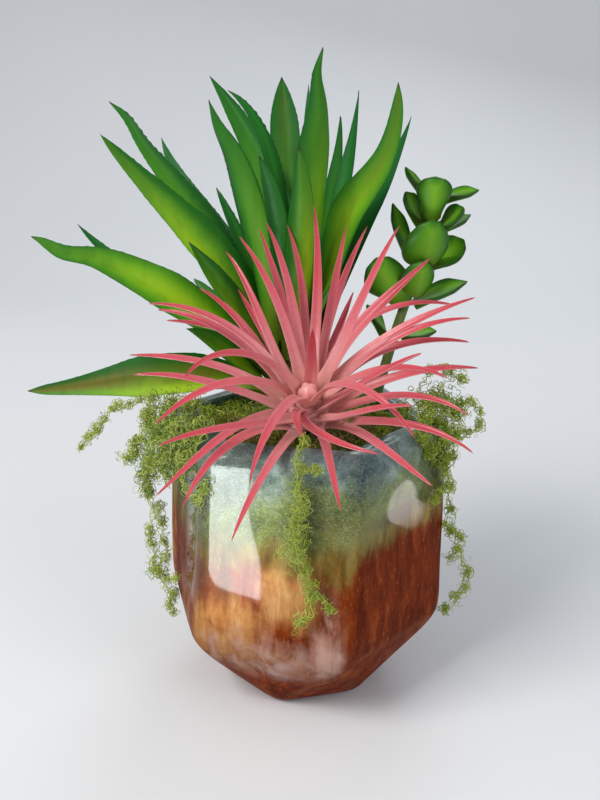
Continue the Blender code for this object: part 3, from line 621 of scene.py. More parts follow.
def moss_look():
    """Curly threads, each with its own shade; dry ones are brown."""
    n = Nodes("dried moss")
    shade = n.plus(n.times(n.mark("tone"), 0.7), n.times(n.noise(90, 3, 0.6), 0.3))
    green = n.ramp(shade, [(0.05, (84, 110, 18)), (0.35, (134, 162, 30)), (0.65, (172, 190, 58)),
                           (0.95, (208, 212, 112))])
    dry = n.ramp(shade, [(0.05, (70, 48, 18)), (0.5, (124, 96, 46)), (0.95, (166, 146, 86))])
    body = n.mix(n.mark("brown"), green, dry)
    fuzz = n.noise(2200, 2, 0.6)
    return n.finish(Base_Color=body, Roughness=n.spread(fuzz, 0.3, 0.7, (0.65, 0.85)),
                    Normal=n.bump(fuzz, 0.4))


def stalk_look():
    n = Nodes("green stalk")
    bark = n.noise(300, 4, 0.6, at=n.place((1, 1, 0.3)))
    body = n.ramp(bark, [(0.3, (58, 78, 26)), (0.5, (92, 112, 44)), (0.75, (128, 136, 62))])
    return n.finish(Base_Color=body, Roughness=0.55, Normal=n.bump(bark, 0.4))


def foam_look():
    n = Nodes("floral foam")
    cells = n.noise(1600, 3, 0.7)
    body = n.ramp(cells, [(0.3, (34, 50, 26)), (0.7, (58, 82, 44))])
    return n.finish(Base_Color=body, Roughness=0.95, Normal=n.bump(cells, 0.8))


# Spots of the glaze, each a centre and its reach in millimetres: where the copper turns to gold,
# and where the mauve swirls lie.
GOLD_SPOTS = (
    ((-3, -36, 43), (10, 10, 13)), ((-20, -32, 29), (14, 10, 12)),
    ((26, 28, 42), (14, 14, 15)), ((-38, 12, 38), (12, 14, 14)),
)
MAUVE_SPOTS = (
    ((-13, -33, 21), (21, 12, 11)), ((7, -39, 31), (5, 8, 15)), ((-33, -17, 30), (5, 8, 9)),
    ((20, 32, 24), (16, 10, 9)), ((-30, 25, 26), (8, 12, 12)),
)
# Glaze tints and painted dark reflection and shade: centre and reach, colour, strength.
TINT_AND_SHADE_SPOTS = (
    ((-19, -30, 72), (10, 9, 14), (104, 118, 100), 0.5),
    ((17, -33, 72), (10, 10, 8), (48, 74, 78), 0.3),
    # the left facet's upper part: partly its own dark green, partly painted dark reflection and shade
    ((-33, -19, 66), (8, 12, 12), (20, 38, 24), 0.85),
    ((-22, -31, 62), (9, 9, 20), (54, 62, 44), 0.6),
    # the left facet's lower part: partly its own copper, partly painted dark reflection and shade
    ((-33, -17, 44), (6, 10, 13), (88, 34, 10), 0.7),
    # a painted dark reflection line where the green turns to copper, under the small window's reflection
    ((25, -26, 61), (13, 12, 2.6), (56, 36, 18), 0.7),
    ((15, -34, 61), (10, 9, 6), (134, 134, 72), 0.5),
)


def pot_look():
    """Glossy pearl glaze: silver-teal mica at the top, gold and copper streaks and mauve swirls below.

    Heights and widths that are compared with x, z and level are metres.
    """
    n = Nodes("pearl glaze")
    split = n.node("SeparateXYZ")
    n.plug(split.inputs[0], n.node("TexCoord").outputs["Object"])
    x, _, z = split.outputs
    cloud = n.noise(34, 4, 0.6, 0.6)
    marble = n.noise(95, 5, 0.62, 0.8)
    streak = n.noise(300, 5, 0.6, 0.4, at=n.place((1, 1, 0.22)))
    swirl = n.noise(95, 4, 0.6, 0.9, at=n.place((1, 1, 0.6), (0, 0.5, 0)))
    grain = n.noise(1300, 3, 0.75, at=n.place((1, 1, 0.35)))
    flake = n.flakes(3400)
    level = n.plus(z, n.waver(cloud, 0.022))
    level = n.plus(level, n.waver(n.noise(160, 5, 0.7, at=n.place((1, 1, 0.5))), 0.016))
    level = n.math("SUBTRACT", level, n.spread(x, 0.010, 0.032, (0.0, 0.004)))

    silver = n.ramp(marble, [(0.30, (52, 72, 74)), (0.42, (90, 110, 110)), (0.52, (122, 142, 140)),
                             (0.64, (154, 174, 184)), (0.76, (192, 206, 216))])
    moss = n.ramp(marble, [(0.30, (56, 66, 32)), (0.44, (84, 94, 44)), (0.56, (112, 124, 60)),
                           (0.72, (144, 154, 86))])
    olive = n.ramp(streak, [(0.3, (84, 66, 26)), (0.5, (118, 98, 44)), (0.7, (150, 130, 70))])
    copper = n.ramp(streak, [(0.28, (74, 24, 4)), (0.42, (100, 34, 8)), (0.56, (124, 48, 12)),
                             (0.70, (150, 70, 24)), (0.80, (186, 112, 50))])
    gold = n.ramp(streak, [(0.28, (138, 84, 40)), (0.45, (170, 114, 62)), (0.60, (194, 146, 90)),
                           (0.75, (214, 178, 130))])
    mauve = n.ramp(swirl, [(0.30, (138, 90, 66)), (0.44, (160, 116, 94)), (0.56, (180, 142, 126)),
                           (0.70, (200, 174, 168))])

    # copper below, with gold and mauve in it, then the bands above
    shine, pearl = (n.most(*(n.near(*spot) for spot in spots)) for spots in (GOLD_SPOTS, MAUVE_SPOTS))
    bare = n.spread(z, 0.009, 0.018)
    low = n.lay(copper, gold, shine, n.spread(marble, 0.25, 0.55, (0.35, 1.0)))
    low = n.lay(low, mauve, n.times(pearl, n.spread(swirl, 0.34, 0.56, (0.1, 0.85))), bare)
    streaky = n.times(n.near((7, -38, 25), (4, 8, 13)), bare)
    low = n.lay(low, (196, 160, 148), streaky, n.spread(streak, 0.36, 0.62, (0.05, 0.6)))
    low = n.lay(low, (104, 74, 52), n.near((-22, -31, 45), (9, 9, 8)), 0.6)
    body = n.mix(n.spread(level, 0.0465, 0.0545), low, olive)
    body = n.mix(n.spread(level, 0.0545, 0.0635), body, moss)
    body = n.mix(n.spread(level, 0.0660, 0.0780), body, silver)
    # glaze tints, with painted dark reflection and shade on the left facet and under the small window's
    # reflection
    for centre, reach, colour, strength in TINT_AND_SHADE_SPOTS:
        body = n.lay(body, colour, n.near(centre, reach), strength)

    # mica flakes above, painted as glints, fine flecks below and a painted highlight along the facet edges
    upper = n.spread(level, 0.052, 0.066)
    # pale mica flakes, lightened into painted glints
    body = n.lay(body, (182, 196, 196), n.spread(flake, 0.62, 0.95), n.times(upper, 0.22))
    body = n.lay(body, (28, 38, 30), n.spread(flake, 0.30, 0.05), n.times(upper, 0.25))
    fleck = n.times(n.spread(grain, 0.56, 0.74), n.spread(upper, 1.0, 0.0))
    body = n.lay(body, (206, 150, 84), fleck, 0.3)
    body = n.lay(body, (60, 26, 8), n.spread(grain, 0.44, 0.28), 0.25)
    # a painted highlight along the rounded facet edges
    body = n.lay(body, (178, 128, 84), n.mark("edge"), n.spread(marble, 0.35, 0.6, (0.0, 0.16)))

    # the clear coat: strong above and to the left, weak below and at the far left
    gloss = n.most(n.spread(z, 0.050, 0.062, (0.0, 0.75)), n.spread(x, 0.006, -0.004))
    gloss = n.times(gloss, n.spread(z, 0.030, 0.040))
    gloss = n.times(gloss, n.spread(x, -0.033, -0.029))
    least = n.times(n.spread(z, 0.016, 0.030, (0.08, 0.14)), n.spread(x, -0.036, -0.030, (0.25, 1.0)))
    height = n.plus(n.times(grain, 0.3), n.times(swirl, 0.7))
    return n.finish(Base_Color=body, Metallic=0.15, Roughness=n.spread(flake, 0.0, 1.0, (0.3, 0.45)),
                    Normal=n.bump(height, 0.12, 0.3), Coat_Weight=n.most(gloss, least),
                    Coat_Roughness=0.06, Coat_IOR=1.32, Specular_IOR_Level=0.0)


# ================================================================ pot

SIDES, CORNER_TURN, RIM_TWIST = 6, -74.0, 5.0
RIM_Z, RIM_R, BELLY_Z, BELLY_R, BASE_R = 79.5, 39.8, 23.0, 41.8, 22.7
MOUTH_R, FLOOR_R, FLOOR_Z = 29.5, 23.0, 8.0
POT_AROUND, WALL_STEPS = 360, 110
STEPPED_Z = 66.0            # the inside goes down to here in steps, and then straight to the floor
CORNER_POWER = 30.0         # the higher, the sharper the facet edges
EDGE_WIDTH = 1.2            # how wide the painted highlight band along an edge is
FAR = 1e4                   # distance of a face that a direction never meets


def ring_at(radius, angles, z):
    """Points around the pot's axis; the radius and the height are single or one per angle."""
    x = radius * np.cos(angles)
    return np.stack([x, radius * np.sin(angles), np.broadcast_to(z, x.shape)], -1)


def facet_planes():
    """Outward normals and distances of the triangles under the belly."""
    corners = np.radians(CORNER_TURN + 360 / SIDES * np.arange(SIDES))
    belly = ring_at(BELLY_R, corners, BELLY_Z)
    base = ring_at(BASE_R, corners + math.pi / SIDES, 0)
    planes = []
    for k in range(SIDES):
        j = (k + 1) % SIDES
        for a, b, c in ((belly[k], base[k], belly[j]), (base[k], base[j], belly[j])):
            normal = unit(np.cross(b - a, c - a))
            if normal @ (a + b + c) < 0:
                normal = -normal
            planes.append((normal, normal @ a))
    return planes


def hexagon_reach(theta, radius, turn):
    """Distances from the axis to the 6 sides of a hexagon, along direction theta."""
    out = []
    for k in range(SIDES):
        away = np.cos(theta - np.radians(CORNER_TURN + turn + 60 * k + 30))
        out.append(np.where(away > 0.2, radius * math.cos(math.pi / SIDES) / np.maximum(away, 0.2), FAR))
    return out


def hexagon(theta, radius):
    """Distance to the edge of a hexagon that is turned like the rim."""
    return np.minimum.reduce(hexagon_reach(theta, radius, RIM_TWIST))


def pot_reach(theta, z):
    """Radius of the outer wall with its edges rounded, and how near an edge it is."""
    share = np.clip((z - BELLY_Z) / (RIM_Z - BELLY_Z), 0, 1)
    reaches = hexagon_reach(theta, BELLY_R + (RIM_R - BELLY_R) * share, RIM_TWIST * share)
    for normal, distance in facet_planes():
        away = normal[0] * np.cos(theta) + normal[1] * np.sin(theta)
        reaches.append(np.where(away > 0.05, (distance - normal[2] * z) / np.maximum(away, 0.05), FAR))
    first, second = np.sort(np.array(reaches), 0)[:2]
    edge = np.clip(1 - (second - first) / EDGE_WIDTH, 0, 1)
    return sum(r ** -CORNER_POWER for r in reaches) ** (-1 / CORNER_POWER), edge


def make_pot(finish):
    """The glazed skin, up the wall, over the lip and down inside to the floor."""
    theta = circle(POT_AROUND)
    foot, lip, inner = 2.0, 5.5, 2.2    # radii that round the foot and the lip's two sides
    profile = []                # height and how far inside the wall, from the base up and over the lip
    for a in np.linspace(0, math.pi / 2, 6):
        profile.append((foot * (1 - math.cos(a)), foot * (1 - math.sin(a))))
    profile += [(z, 0.0) for z in np.linspace(foot + 0.5, RIM_Z - lip, WALL_STEPS)[1:]]
    for a in np.linspace(0, math.pi / 2, 12)[1:]:
        profile.append((RIM_Z - lip * (1 - math.sin(a)), lip * (1 - math.cos(a))))
    rings, edges = [], []
    for z, inset in profile:
        r, edge = pot_reach(theta, z)
        edges.append(edge)
        wave = 0.07 * np.sin(3 * theta + 0.13 * z) + 0.05 * np.sin(5 * theta - 0.21 * z + 1)
        rings.append(ring_at(r - inset + (wave - 0.28) * min(1, z / 12), theta, z))
    for a in np.linspace(0, math.pi / 2, 8):
        r = hexagon(theta, MOUTH_R) + inner * (1 - math.sin(a))
        rings.append(ring_at(r, theta, RIM_Z - inner * (1 - math.cos(a))))
    for z in np.linspace(RIM_Z - inner, STEPPED_Z, 8)[1:]:
        reach = FLOOR_R + (MOUTH_R - FLOOR_R) * (z - FLOOR_Z) / (RIM_Z - FLOOR_Z)
        rings.append(ring_at(hexagon(theta, reach), theta, z))
    rings.append(ring_at(hexagon(theta, FLOOR_R), theta, FLOOR_Z))
    edges += [np.zeros(len(theta))] * (len(rings) - len(edges))
    # edge is how near a facet edge each vertex lies, for the painted edge highlight
    write_mesh("pot_glazed", *loft(np.array(rings)), finish, {"edge": np.array(edges)},
               replaced=("pot",), slot="pot_glaze")


# ================================================================ plants

def smooth(values, width):
    """Values averaged over a window, with both ends held."""
    window = np.hanning(width + 2)[1:-1]
    padded = np.pad(values, width // 2, mode="reflect", reflect_type="odd")
    return np.convolve(padded, window / window.sum(), "valid")


def make_aloe(leaf_finish, stalk_finish, rng):
    places = leaf_places(140)
    s = places[:-1, None]
    u, face = around_leaf(13)
    for number, (z, azimuths, elevations, rolls, length, width, outline,
                 lit_band, yellow, blue, rust, toothed) in enumerate(ALOE_LEAVES, 1):
        reach = ALOE_STEM_R + ALOE_GAP + ALOE_THICK / 2 * math.sin(math.radians(elevations[0]))
        root = root_at(ALOE_AXIS, reach, azimuths[0], z)
        points, side, up, tip = leaf_path(root, azimuths, elevations, rolls, length, ALOE_STATIONS,
                                          places, ALOE_BOWS.get(number, (0, 1, 1)))
        half = width / 2 * smooth(np.interp(places, ALOE_PLACES, ALOE_OUTLINES[outline]), 9)[:-1, None]
        half = np.maximum(half, 0.12)
        # a slightly wavy outline with small teeth
        phase = rng.uniform(0, 2 * math.pi, 4)
        half = half * (1 + 0.025 * np.sin(9 * s + phase[0]) + 0.015 * np.sin(27 * s + phase[1]))
        pitch = s * length / 2.2 + phase[2]         # counts the teeth, one every 2.2 mm
        size = rng.uniform(0.0, 0.12 + 0.4 * toothed, 64)[pitch.astype(int)]
        teeth = size * np.exp(-((pitch % 1.0 - 0.5) / 0.22) ** 2)
        teeth = teeth * np.clip(s * 5 - 0.8, 0, 1) * np.clip((1 - s) * 9, 0, 1)
        a = half * u + np.sign(u) * (np.abs(u) > 0.99) * teeth * np.where(u < 0, 1, 0.4)
        # a shallow trough, thickest in the middle, with a crease along it and a gentle flutter
        dish = 0.15 * width * (half / (width / 2)) * np.abs(u) ** 1.5
        thick = 2.2 * (1 - 0.6 * s) * np.sqrt(np.minimum(1, half / 2.6))
        b = dish + np.where(face > 0, 0.30, -0.70) * (thick * (1 - np.abs(u) ** 2.2) + 0.24)
        crease = 0.30 * np.exp(-(u / 0.07) ** 2) * (face > 0)
        b = b - crease * np.clip(half / 2.5, 0, 1) - 0.03 * width
        b = b + 0.22 * np.sin(8 * s + phase[3]) * np.clip(s * 3, 0, 1) * u
        skin = Joined()
        skin.add(leaf_rings(points, side, up, a, b), tip, along=s, across=u,
                 lit_band=lit_band, yellow=yellow, blue=blue, rust=rust)
        name = "aloe_leaf_%02d" % number
        skin.write(name + "_fine", leaf_finish, replaced=(name,), slot="aloe_green")
    x, y = ALOE_AXIS
    low, high = ALOE_STEM_Z
    route = np.array([(x, y, low, ALOE_STEM_R), (x, y, high - 2, ALOE_STEM_R), (x, y, high - 0.4, 2.4),
                      (x, y, high, 1.0)])
    write_mesh("aloe_core", *loft(tube_rings(catmull(route, 8), 24)), stalk_finish, {},
               replaced=("aloe_stem",), slot="green_stalk")


def make_tillandsia(leaf_finish, rng):
    lean = np.array(Matrix.Rotation(math.radians(PINK_LEAN), 3, "X"))
    foot = np.array(PINK_FOOT)
    places = leaf_places(44)
    s = places[:-1, None]
    u, face = around_leaf(9)
    around = circle(40)
    for level, leaves in enumerate(PINK_RINGS):
        ring = Joined()
        outer = PINK_RING_R - level
        z = PINK_RING_STEP * level
        for i, (azimuths, elevations, length) in enumerate(leaves):
            root = root_at((0, 0), outer - PINK_SEAT, azimuths[0], z)
            points, side, up, tip = leaf_path(root, azimuths, elevations, (0, 0), length,
                                              PINK_STATIONS, places)
            width = PINK_WIDE.get((level + 1, i + 1), PINK_WIDTH) * rng.uniform(0.93, 1.08)
            half = width / 2 * (1.08 - 0.34 * s) * (1 - s ** 4) ** 0.85
            half = half * (1 + 0.6 * np.exp(-(s / 0.14) ** 2))
            half *= 1 + 0.03 * np.sin(14 * s + rng.uniform(0, 2 * math.pi, 3)[0])
            # a gutter that is deepest at the root, with a groove along its middle
            gutter = (0.10 + 0.16 * np.exp(-s / 0.25)) * width
            thick = PINK_THICK * (1 - 0.4 * s) * np.sqrt(np.minimum(1, half))
            body = thick * (1 - np.abs(u) ** 2.4) + 0.18
            b = gutter * np.abs(u) ** 1.8 + np.where(face > 0, 0.35, -0.65) * body
            b = b - 0.28 * np.exp(-(u / 0.22) ** 2) * (face > 0) * np.minimum(1, half) - gutter * 0.35
            rings = leaf_rings(points, side, up, half * u, b) @ lean.T + foot
            ring.add(rings, tip @ lean.T + foot, along=s, across=u, over=face, tone=rng.uniform(0, 1))
        # the ring's hub, and on the last ring the plant's rounded crown: radii and heights
        hub = [(0.6, z - 0.85), (outer - 0.9, z - 0.85), (outer - 0.3, z - 0.3), (outer - 0.5, z + 0.5)]
        if level < len(PINK_RINGS) - 1:
            hub += [(outer - 1.4, z + 1.1), (0.6, z + 1.6)]
        else:
            hub += [(outer - 0.3, z + 1.4), (2.4, z + 2.8), (2.0, z + 3.7), (1.2, z + 4.3), (0.2, z + 4.6)]
        rings = [ring_at(radius * (1 + 0.12 * np.sin(5 * around + level)), around, height)
                 for radius, height in hub]
        ring.add(np.array(rings) @ lean.T + foot, along=0.16, across=0.0, over=1.0, tone=0.1)
        name = "tillandsia_ring_%d" % (level + 1)
        ring.write(name + "_fine", leaf_finish, replaced=(name,), slot="tillandsia_pink")


def catmull(points, steps):
    """A smooth curve through points of any dimension."""
    p = np.asarray(points, float)
    p = np.vstack([2 * p[0] - p[1], p, 2 * p[-1] - p[-2]])
    out = []
    for i in range(1, len(p) - 2):
        for t in np.arange(steps) / steps:
            w = (-0.5 * t + t * t - 0.5 * t ** 3, 1 - 2.5 * t * t + 1.5 * t ** 3,
                 0.5 * t + 2 * t * t - 1.5 * t ** 3, -0.5 * t * t + 0.5 * t ** 3)
            out.append(sum(k * q for k, q in zip(w, p[i - 1:i + 3])))
    out.append(p[-2])
    return np.array(out)


def tube_rings(route, sides):
    """Rings of a round tube along points with a radius each (N, 4)."""
    points, radii = route[:, :3], route[:, 3]
    tangent = unit(np.gradient(points, axis=0))
    across = np.cross(tangent[0], (0.31, 0.95, 0.07))
    angles = circle(sides)
    rings = []
    for point, radius, along in zip(points, radii, tangent):
        across = unit(across - along * (across @ along))
        other = np.cross(along, across)
        rings.append(point + radius * (np.cos(angles)[:, None] * across + np.sin(angles)[:, None] * other))
    return np.array(rings)


def make_crassula(leaf_finish, stalk_finish, rng):
    radii = np.linspace(*JADE_STEM_R, len(JADE_ROUTE))
    route = np.column_stack([JADE_ROUTE, radii])
    write_mesh("crassula_stem_fine", *loft(tube_rings(catmull(route, 14), 14)), stalk_finish, {},
               replaced=("crassula_stem",), slot="green_stalk")
    dense = catmull(route, 40)
    places = leaf_places(44)
    s = places[:-1, None]
    u, face = around_leaf(13)
    for number, (z, azimuth, (start, end), roll, length, width) in enumerate(JADE_LEAVES, 1):
        *axis, _, radius = dense[np.argmin(np.abs(dense[:, 2] - z))]
        reach = radius + JADE_GAP + JADE_THICK / 2 * math.sin(math.radians(start))
        elevations = (start, (start + end) / 2, end)
        points, side, up, tip = leaf_path(root_at(axis, reach, azimuth, z), (azimuth,) * 3, elevations,
                                          (roll, roll), length, JADE_STATIONS, places)
        foot, power, blunt = JADE_SHAPES.get(number, (0.16, 1.15, 3.5))
        half = np.maximum(1.0, width * np.sin(math.pi * (foot + (0.96 - foot) * s ** power)) ** 0.7) / 2
        half *= np.sqrt(np.clip((1 - s) * blunt, 0, 1))
        # plump and slightly dished
        dish = 0.13 * width * np.abs(u) ** 2 * (half / (width / 2))
        thick = (2.6 - 0.9 * s) * np.sqrt(np.minimum(1, half / (width * 0.35)))
        body = thick * np.sqrt(np.clip(1 - np.abs(u) ** 2.5, 0, 1))
        b = dish + np.where(face > 0, 0.25, -0.75) * body
        skin = Joined()
        skin.add(leaf_rings(points, side, up, half * u, b), tip, along=s, across=u, tone=rng.uniform(0, 0.6))
        name = "crassula_leaf_%02d" % number
        skin.write(name + "_fine", leaf_finish, replaced=(name,), slot="crassula_green")


# ================================================================ moss

def off_the_pot(points):
    """Points that lie within the pot's wall moved straight out to its face."""
    x, y, z = points[..., 0], points[..., 1], points[..., 2]
    reach, turn = np.hypot(x, y), np.arctan2(y, x)
    wall = pot_reach(turn, z)[0] + 0.2
    held = np.where((z < RIM_Z) & (reach > MOUTH_R + 2.5) & (reach < wall), wall / reach, 1.0)
    return np.stack([x * held, y * held, z], -1)


def coils(rng, centres, radius, turns, drift, count=13):
    """Loosely coiled threads around centres: points (N, count, 3) and the axis of each."""
    total = len(centres)
    axis = unit(rng.normal(size=(total, 3)))
    first = unit(np.cross(axis, unit(rng.normal(size=(total, 3)))))
    second = np.cross(axis, first)
    t = np.linspace(0, 1, count)[None, :, None]
    start = rng.uniform(0, 2 * math.pi, (total, 1, 1))
    angle = start + 2 * math.pi * turns[:, None, None] * t
    reach = radius[:, None, None] * (0.75 + 0.35 * np.sin(3.1 * t + start * 2))
    points = centres[:, None, :] + axis[:, None, :] * drift[:, None, None] * (t - 0.5)
    points = points + reach * (np.cos(angle) * first[:, None, :] + np.sin(angle) * second[:, None, :])
    points = points + 0.25 * reach * np.sin(2.3 * angle + start) * unit(rng.normal(size=(total, 1, 3)))
    return points, axis


class Threads(Joined):
    """Thin tubes gathered into one mesh, each with its tone and how brown it is."""

    def add(self, points, axis, radius, tone, brown, sides=3):
        total, count, _ = points.shape
        points = off_the_pot(points)
        points[..., 0] = np.minimum(points[..., 0], MOSS_RIGHT_LIMIT)
        tangent = unit(np.gradient(points, axis=1) + 1e-9)
        one = unit(np.cross(tangent, axis[:, None, :]) + 1e-9)
        two = np.cross(tangent, one)
        angles = circle(sides)[:, None]
        taper = np.clip(np.minimum(np.arange(count), np.arange(count)[::-1]) / 2.0 + 0.35, 0, 1)
        size = radius[:, None] * taper[None, :]
        turn = np.cos(angles) * one[:, :, None, :] + np.sin(angles) * two[:, :, None, :]
        rings = points[:, :, None, :] + size[:, :, None, None] * turn
        index = np.arange(total * count * sides).reshape(total, count, sides) + self.size
        low, high = index[:, :-1], index[:, 1:]
        quads = np.stack([low, np.roll(low, -1, 2), np.roll(high, -1, 2), high], -1).reshape(-1, 4)
        self.faces += quads.tolist() + index[:, 0, ::-1].tolist() + index[:, -1].tolist()
        self.verts.append(rings.reshape(-1, 3))
        self.size += total * count * sides
        for mark, values in (("tone", tone), ("brown", brown)):
            self.marks.setdefault(mark, []).append(np.repeat(values, count * sides))

    def curl(self, rng, centres, low, high, brown, radius, turns=(0.8, 1.6), pale=0.0):
        """One coiled thread at each centre."""
        total = len(centres)
        points, axis = coils(rng, centres, rng.uniform(low, high, total), rng.uniform(*turns, total),
                             rng.uniform(0.3, 1.8, total))
        self.add(points, axis, rng.uniform(0.7, 1.2, total) * radius,
                 np.clip(rng.uniform(0, 1, total) * (1 - pale) + pale, 0, 1), np.broadcast_to(brown, total))

    def stem(self, rng, route, radius, sway, brown):
        """A main thread that wanders about a route."""
        t = np.linspace(0, 1, len(route))[:, None]
        waves = (np.sin(2 * math.pi * t * f + rng.uniform(0, 6.3, 3)) for f in (2.3, 4.1, 7.7))
        self.add((route + sum(waves) * sway / 2)[None], np.array([[0.2, 0.9, 0.3]]), np.array([radius]),
                 np.array([0.7]), np.array([brown]), 5)


def make_moss(finish, rng):
    """Each moss piece as threads: some along its routes, and curled ones about its balls."""
    for name, (routes, balls) in MOSS.items():
        threads = Threads()
        hanging = "strand" in name or "tendril" in name
        brown = 0.75 if "tuft" in name else 0.0
        for route in routes:
            line = catmull(route, 12)
            for _ in range(3):
                threads.stem(rng, line, 0.11, 1.1, brown)
            if hanging:
                number = int(len(line) * 0.6)
                spots = line[rng.integers(0, len(line), number)] + rng.normal(size=(number, 3)) * 0.7
                threads.curl(rng, spots, 0.5, 1.2, brown, 0.085, (0.4, 1.4), 0.4)
        for x, y, z, reach, dense in balls:
            middle = np.array([x, y, z])
            number = int(dense * ((5.5 if hanging else 9.5) * reach ** 2 + 4) + 2)
            spots = middle + rng.normal(size=(number, 3)) * reach * np.array([0.5, 0.42, 0.55])
            thin, pale = (0.09, 0.35) if hanging else (0.11, 0.0)
            threads.curl(rng, spots, 0.5, 1.25, brown, thin, (0.6, 1.5), pale)
            spots = middle + rng.normal(size=(4 if dense < OPEN_BALL else 2, 3)) * 0.3
            threads.curl(rng, spots, 0.75 * reach, 1.05 * reach, brown, 0.11, (0.9, 1.5), 0.4)
            spots = middle + unit(rng.normal(size=(int(4 * reach + 2), 3))) * reach * 0.95
            threads.curl(rng, spots, 0.6, 1.5, brown, 0.08, (0.25, 0.7), 0.5)
        threads.write(name + "_threads", finish, replaced=(name,), slot="moss")
    make_bed(finish, rng)


def make_bed(finish, rng):
    """The moss bed: lumpy ground under a layer of threads, brown by the pink plant."""
    around = circle(72)
    edge = hexagon(around, BED_R)
    levels = [ring_at(edge, around, BED_LOW_Z)]
    for share in (1.0, 0.93, 0.84, 0.74, 0.62, 0.5, 0.36, 0.22, 0.1):
        px, py = edge * share * np.cos(around), edge * share * np.sin(around)
        lump = 0.5 * np.sin(0.55 * px + 1) * np.sin(0.5 * py) + 0.4 * np.sin(0.9 * px - 0.7 * py)
        levels.append(ring_at(edge * share, around, BED_Z + (BED_TOP_Z - BED_Z) * (1 - share ** 2) + lump))
    bed = Joined()
    bed.add(np.array(levels), (0, 0, BED_TOP_Z), tone=0.15, brown=0.55)
    bed.write("moss_bed_ground", finish, replaced=("moss_bed",), slot="moss")
    total = 1200
    angle, share = rng.uniform(0, 2 * math.pi, total), np.sqrt(rng.uniform(0, 1, total))
    height = BED_Z + 1.8 - 1.6 * share ** 3 + rng.uniform(0, 2.2, total)
    spots = ring_at(hexagon(angle, BED_R + 0.6) * share, angle, height)
    dry = np.clip(1.15 - np.hypot(spots[:, 0] - 0.5, spots[:, 1] + 16) / 15, 0, 1)
    threads = Threads()
    threads.curl(rng, spots, 0.45, 1.2, dry, 0.15)
    threads.write("moss_bed_threads", finish, replaced=("moss_bed",), slot="moss")


# ================================================================ stage

# Lengths in this section are metres, but the cards' corners and the lens are millimetres.
FLOOR_HALF, FLOOR_BACK, BEND_R, BEND_STEPS, BACKDROP_TOP = 3.0, 0.5, 0.6, 24, 3.0
CAMERA_PLACE, CAMERA_LENS = (0, -0.2366, 0.1608), 40.5
CAMERA_SWING, CAMERA_DIP, CAMERA_ROLL = 0.4, 18.23, 1.2


def lamp(name, place, aim, size, watts, colour):
    """An area lamp aimed at a point."""
    light = bpy.data.lights.new(name, "AREA")
    light.shape = "RECTANGLE"
    light.size, light.size_y = size
    light.energy = watts
    light.color = colour
    made = placed(name, light)
    heading = Vector(aim) - Vector(place)
    made.matrix_world = Matrix.Translation(place) @ heading.to_track_quat("-Z", "Y").to_matrix().to_4x4()
    made.visible_camera = False


def card(name, corners, strength, colour):
    """A glowing panel that only shows in reflections; corners in millimetres."""
    made = bpy.data.materials.new(name)
    made.use_nodes = True
    tree = made.node_tree
    tree.nodes.clear()
    glow = tree.nodes.new("ShaderNodeEmission")
    glow.inputs["Color"].default_value = (*colour, 1)
    glow.inputs["Strength"].default_value = strength
    tree.links.new(glow.outputs[0], tree.nodes.new("ShaderNodeOutputMaterial").inputs["Surface"])
    verts = [[c * MM for c in corner] for corner in corners]
    panel = placed(name, new_mesh(name, verts, [list(range(len(corners)))], made))
    panel.visible_camera = panel.visible_diffuse = panel.visible_shadow = False


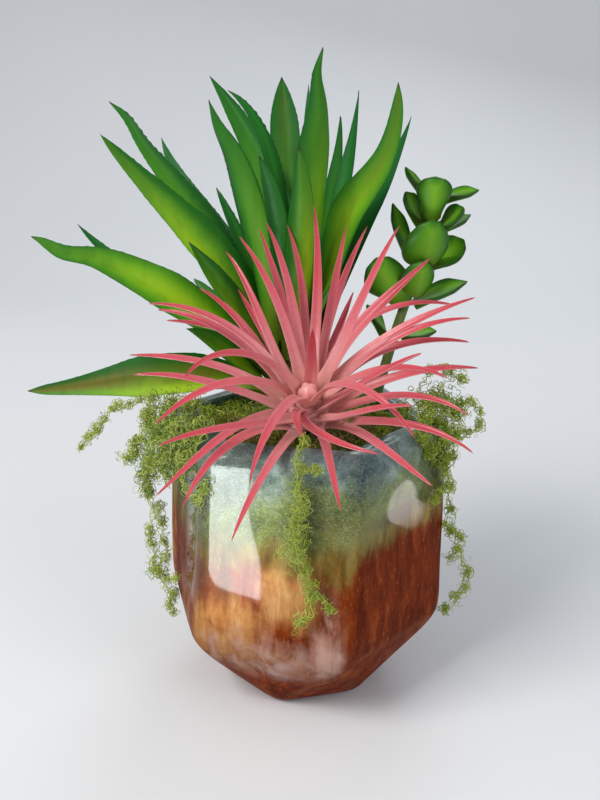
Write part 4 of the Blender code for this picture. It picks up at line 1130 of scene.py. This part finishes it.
def make_stage():
    """Pale floor that sweeps up into a backdrop, soft lamps, two window panels and the camera."""
    n = Nodes("pale backdrop")
    pale = n.ramp(n.noise(3.0, 2, 0.5), [(0.3, (228, 230, 232)), (0.7, (232, 233, 234))])
    n.finish(Base_Color=pale, Roughness=0.9, Specular_IOR_Level=0.0)
    profile = [(-FLOOR_HALF, 0.0), (FLOOR_BACK, 0.0)]
    for k in range(1, BEND_STEPS + 1):
        a = math.radians(90 * k / BEND_STEPS)
        profile.append((FLOOR_BACK + BEND_R * math.sin(a), BEND_R * (1 - math.cos(a))))
    profile.append((FLOOR_BACK + BEND_R, BACKDROP_TOP))
    verts = [(x, y, z) for y, z in profile for x in (-FLOOR_HALF, FLOOR_HALF)]
    faces = [(2 * k, 2 * k + 1, 2 * k + 3, 2 * k + 2) for k in range(len(profile) - 1)]
    mesh = new_mesh("backdrop", verts, faces, n.made)
    mesh.shade_smooth()
    backdrop = placed("backdrop", mesh)

    scene = bpy.context.scene
    world = bpy.data.worlds.new("studio")
    scene.world = world
    world.use_nodes = True
    air = world.node_tree.nodes["Background"]
    air.inputs["Color"].default_value = (0.88, 0.93, 1.0, 1)
    air.inputs["Strength"].default_value = 0.40

    lamp("key", (-0.55, -0.45, 0.75), (0, 0, 0.09), (0.45, 0.45), 7.2, (1.0, 0.98, 0.95))
    lamp("fill", (0.6, -0.5, 0.5), (0, 0, 0.08), (0.5, 0.5), 1.6, (0.95, 0.97, 1.0))
    lamp("back", (0.2, 0.7, 0.6), (0, 0, 0.1), (0.5, 0.4), 1.6, (0.95, 0.98, 1.0))
    pane = [(-32.5, -82, 84), (-35.2, -80.5, 10), (-61, -74, 16), (-66, -73, 84)]
    card("window", pane, 22, (0.93, 0.95, 1.0))
    turns = np.radians(np.arange(0, 360, 20))
    oval = [(80, -8.5 - 4.2 * math.cos(t) + 2 * math.sin(t), 39 + 8 * math.sin(t)) for t in turns]
    card("small window", oval, 7, (1.0, 0.93, 0.9))

    data = bpy.data.cameras.new("camera")
    data.sensor_width = 36.0
    data.lens = CAMERA_LENS
    camera = placed("camera", data)
    turn = Matrix.Rotation(math.radians(CAMERA_SWING), 4, "Z")
    turn = turn @ Matrix.Rotation(math.radians(90 - CAMERA_DIP), 4, "X")
    turn = turn @ Matrix.Rotation(math.radians(CAMERA_ROLL), 4, "Z")
    camera.matrix_world = Matrix.Translation(CAMERA_PLACE) @ turn
    scene.camera = camera
    scene.view_settings.view_transform = "Standard"


def main():
    make_stage()
    stalk, foam = stalk_look(), foam_look()
    make_pot(pot_look())
    make_aloe(aloe_look(), stalk, np.random.default_rng(7))
    make_tillandsia(pink_look(), np.random.default_rng(11))
    make_crassula(jade_look(), stalk, np.random.default_rng(5))
    make_moss(moss_look(), np.random.default_rng(23))
    for name, look in (("foam_plug", foam), ("tillandsia_stem", stalk)):
        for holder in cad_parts[name].material_slots:
            holder.material = look


main()
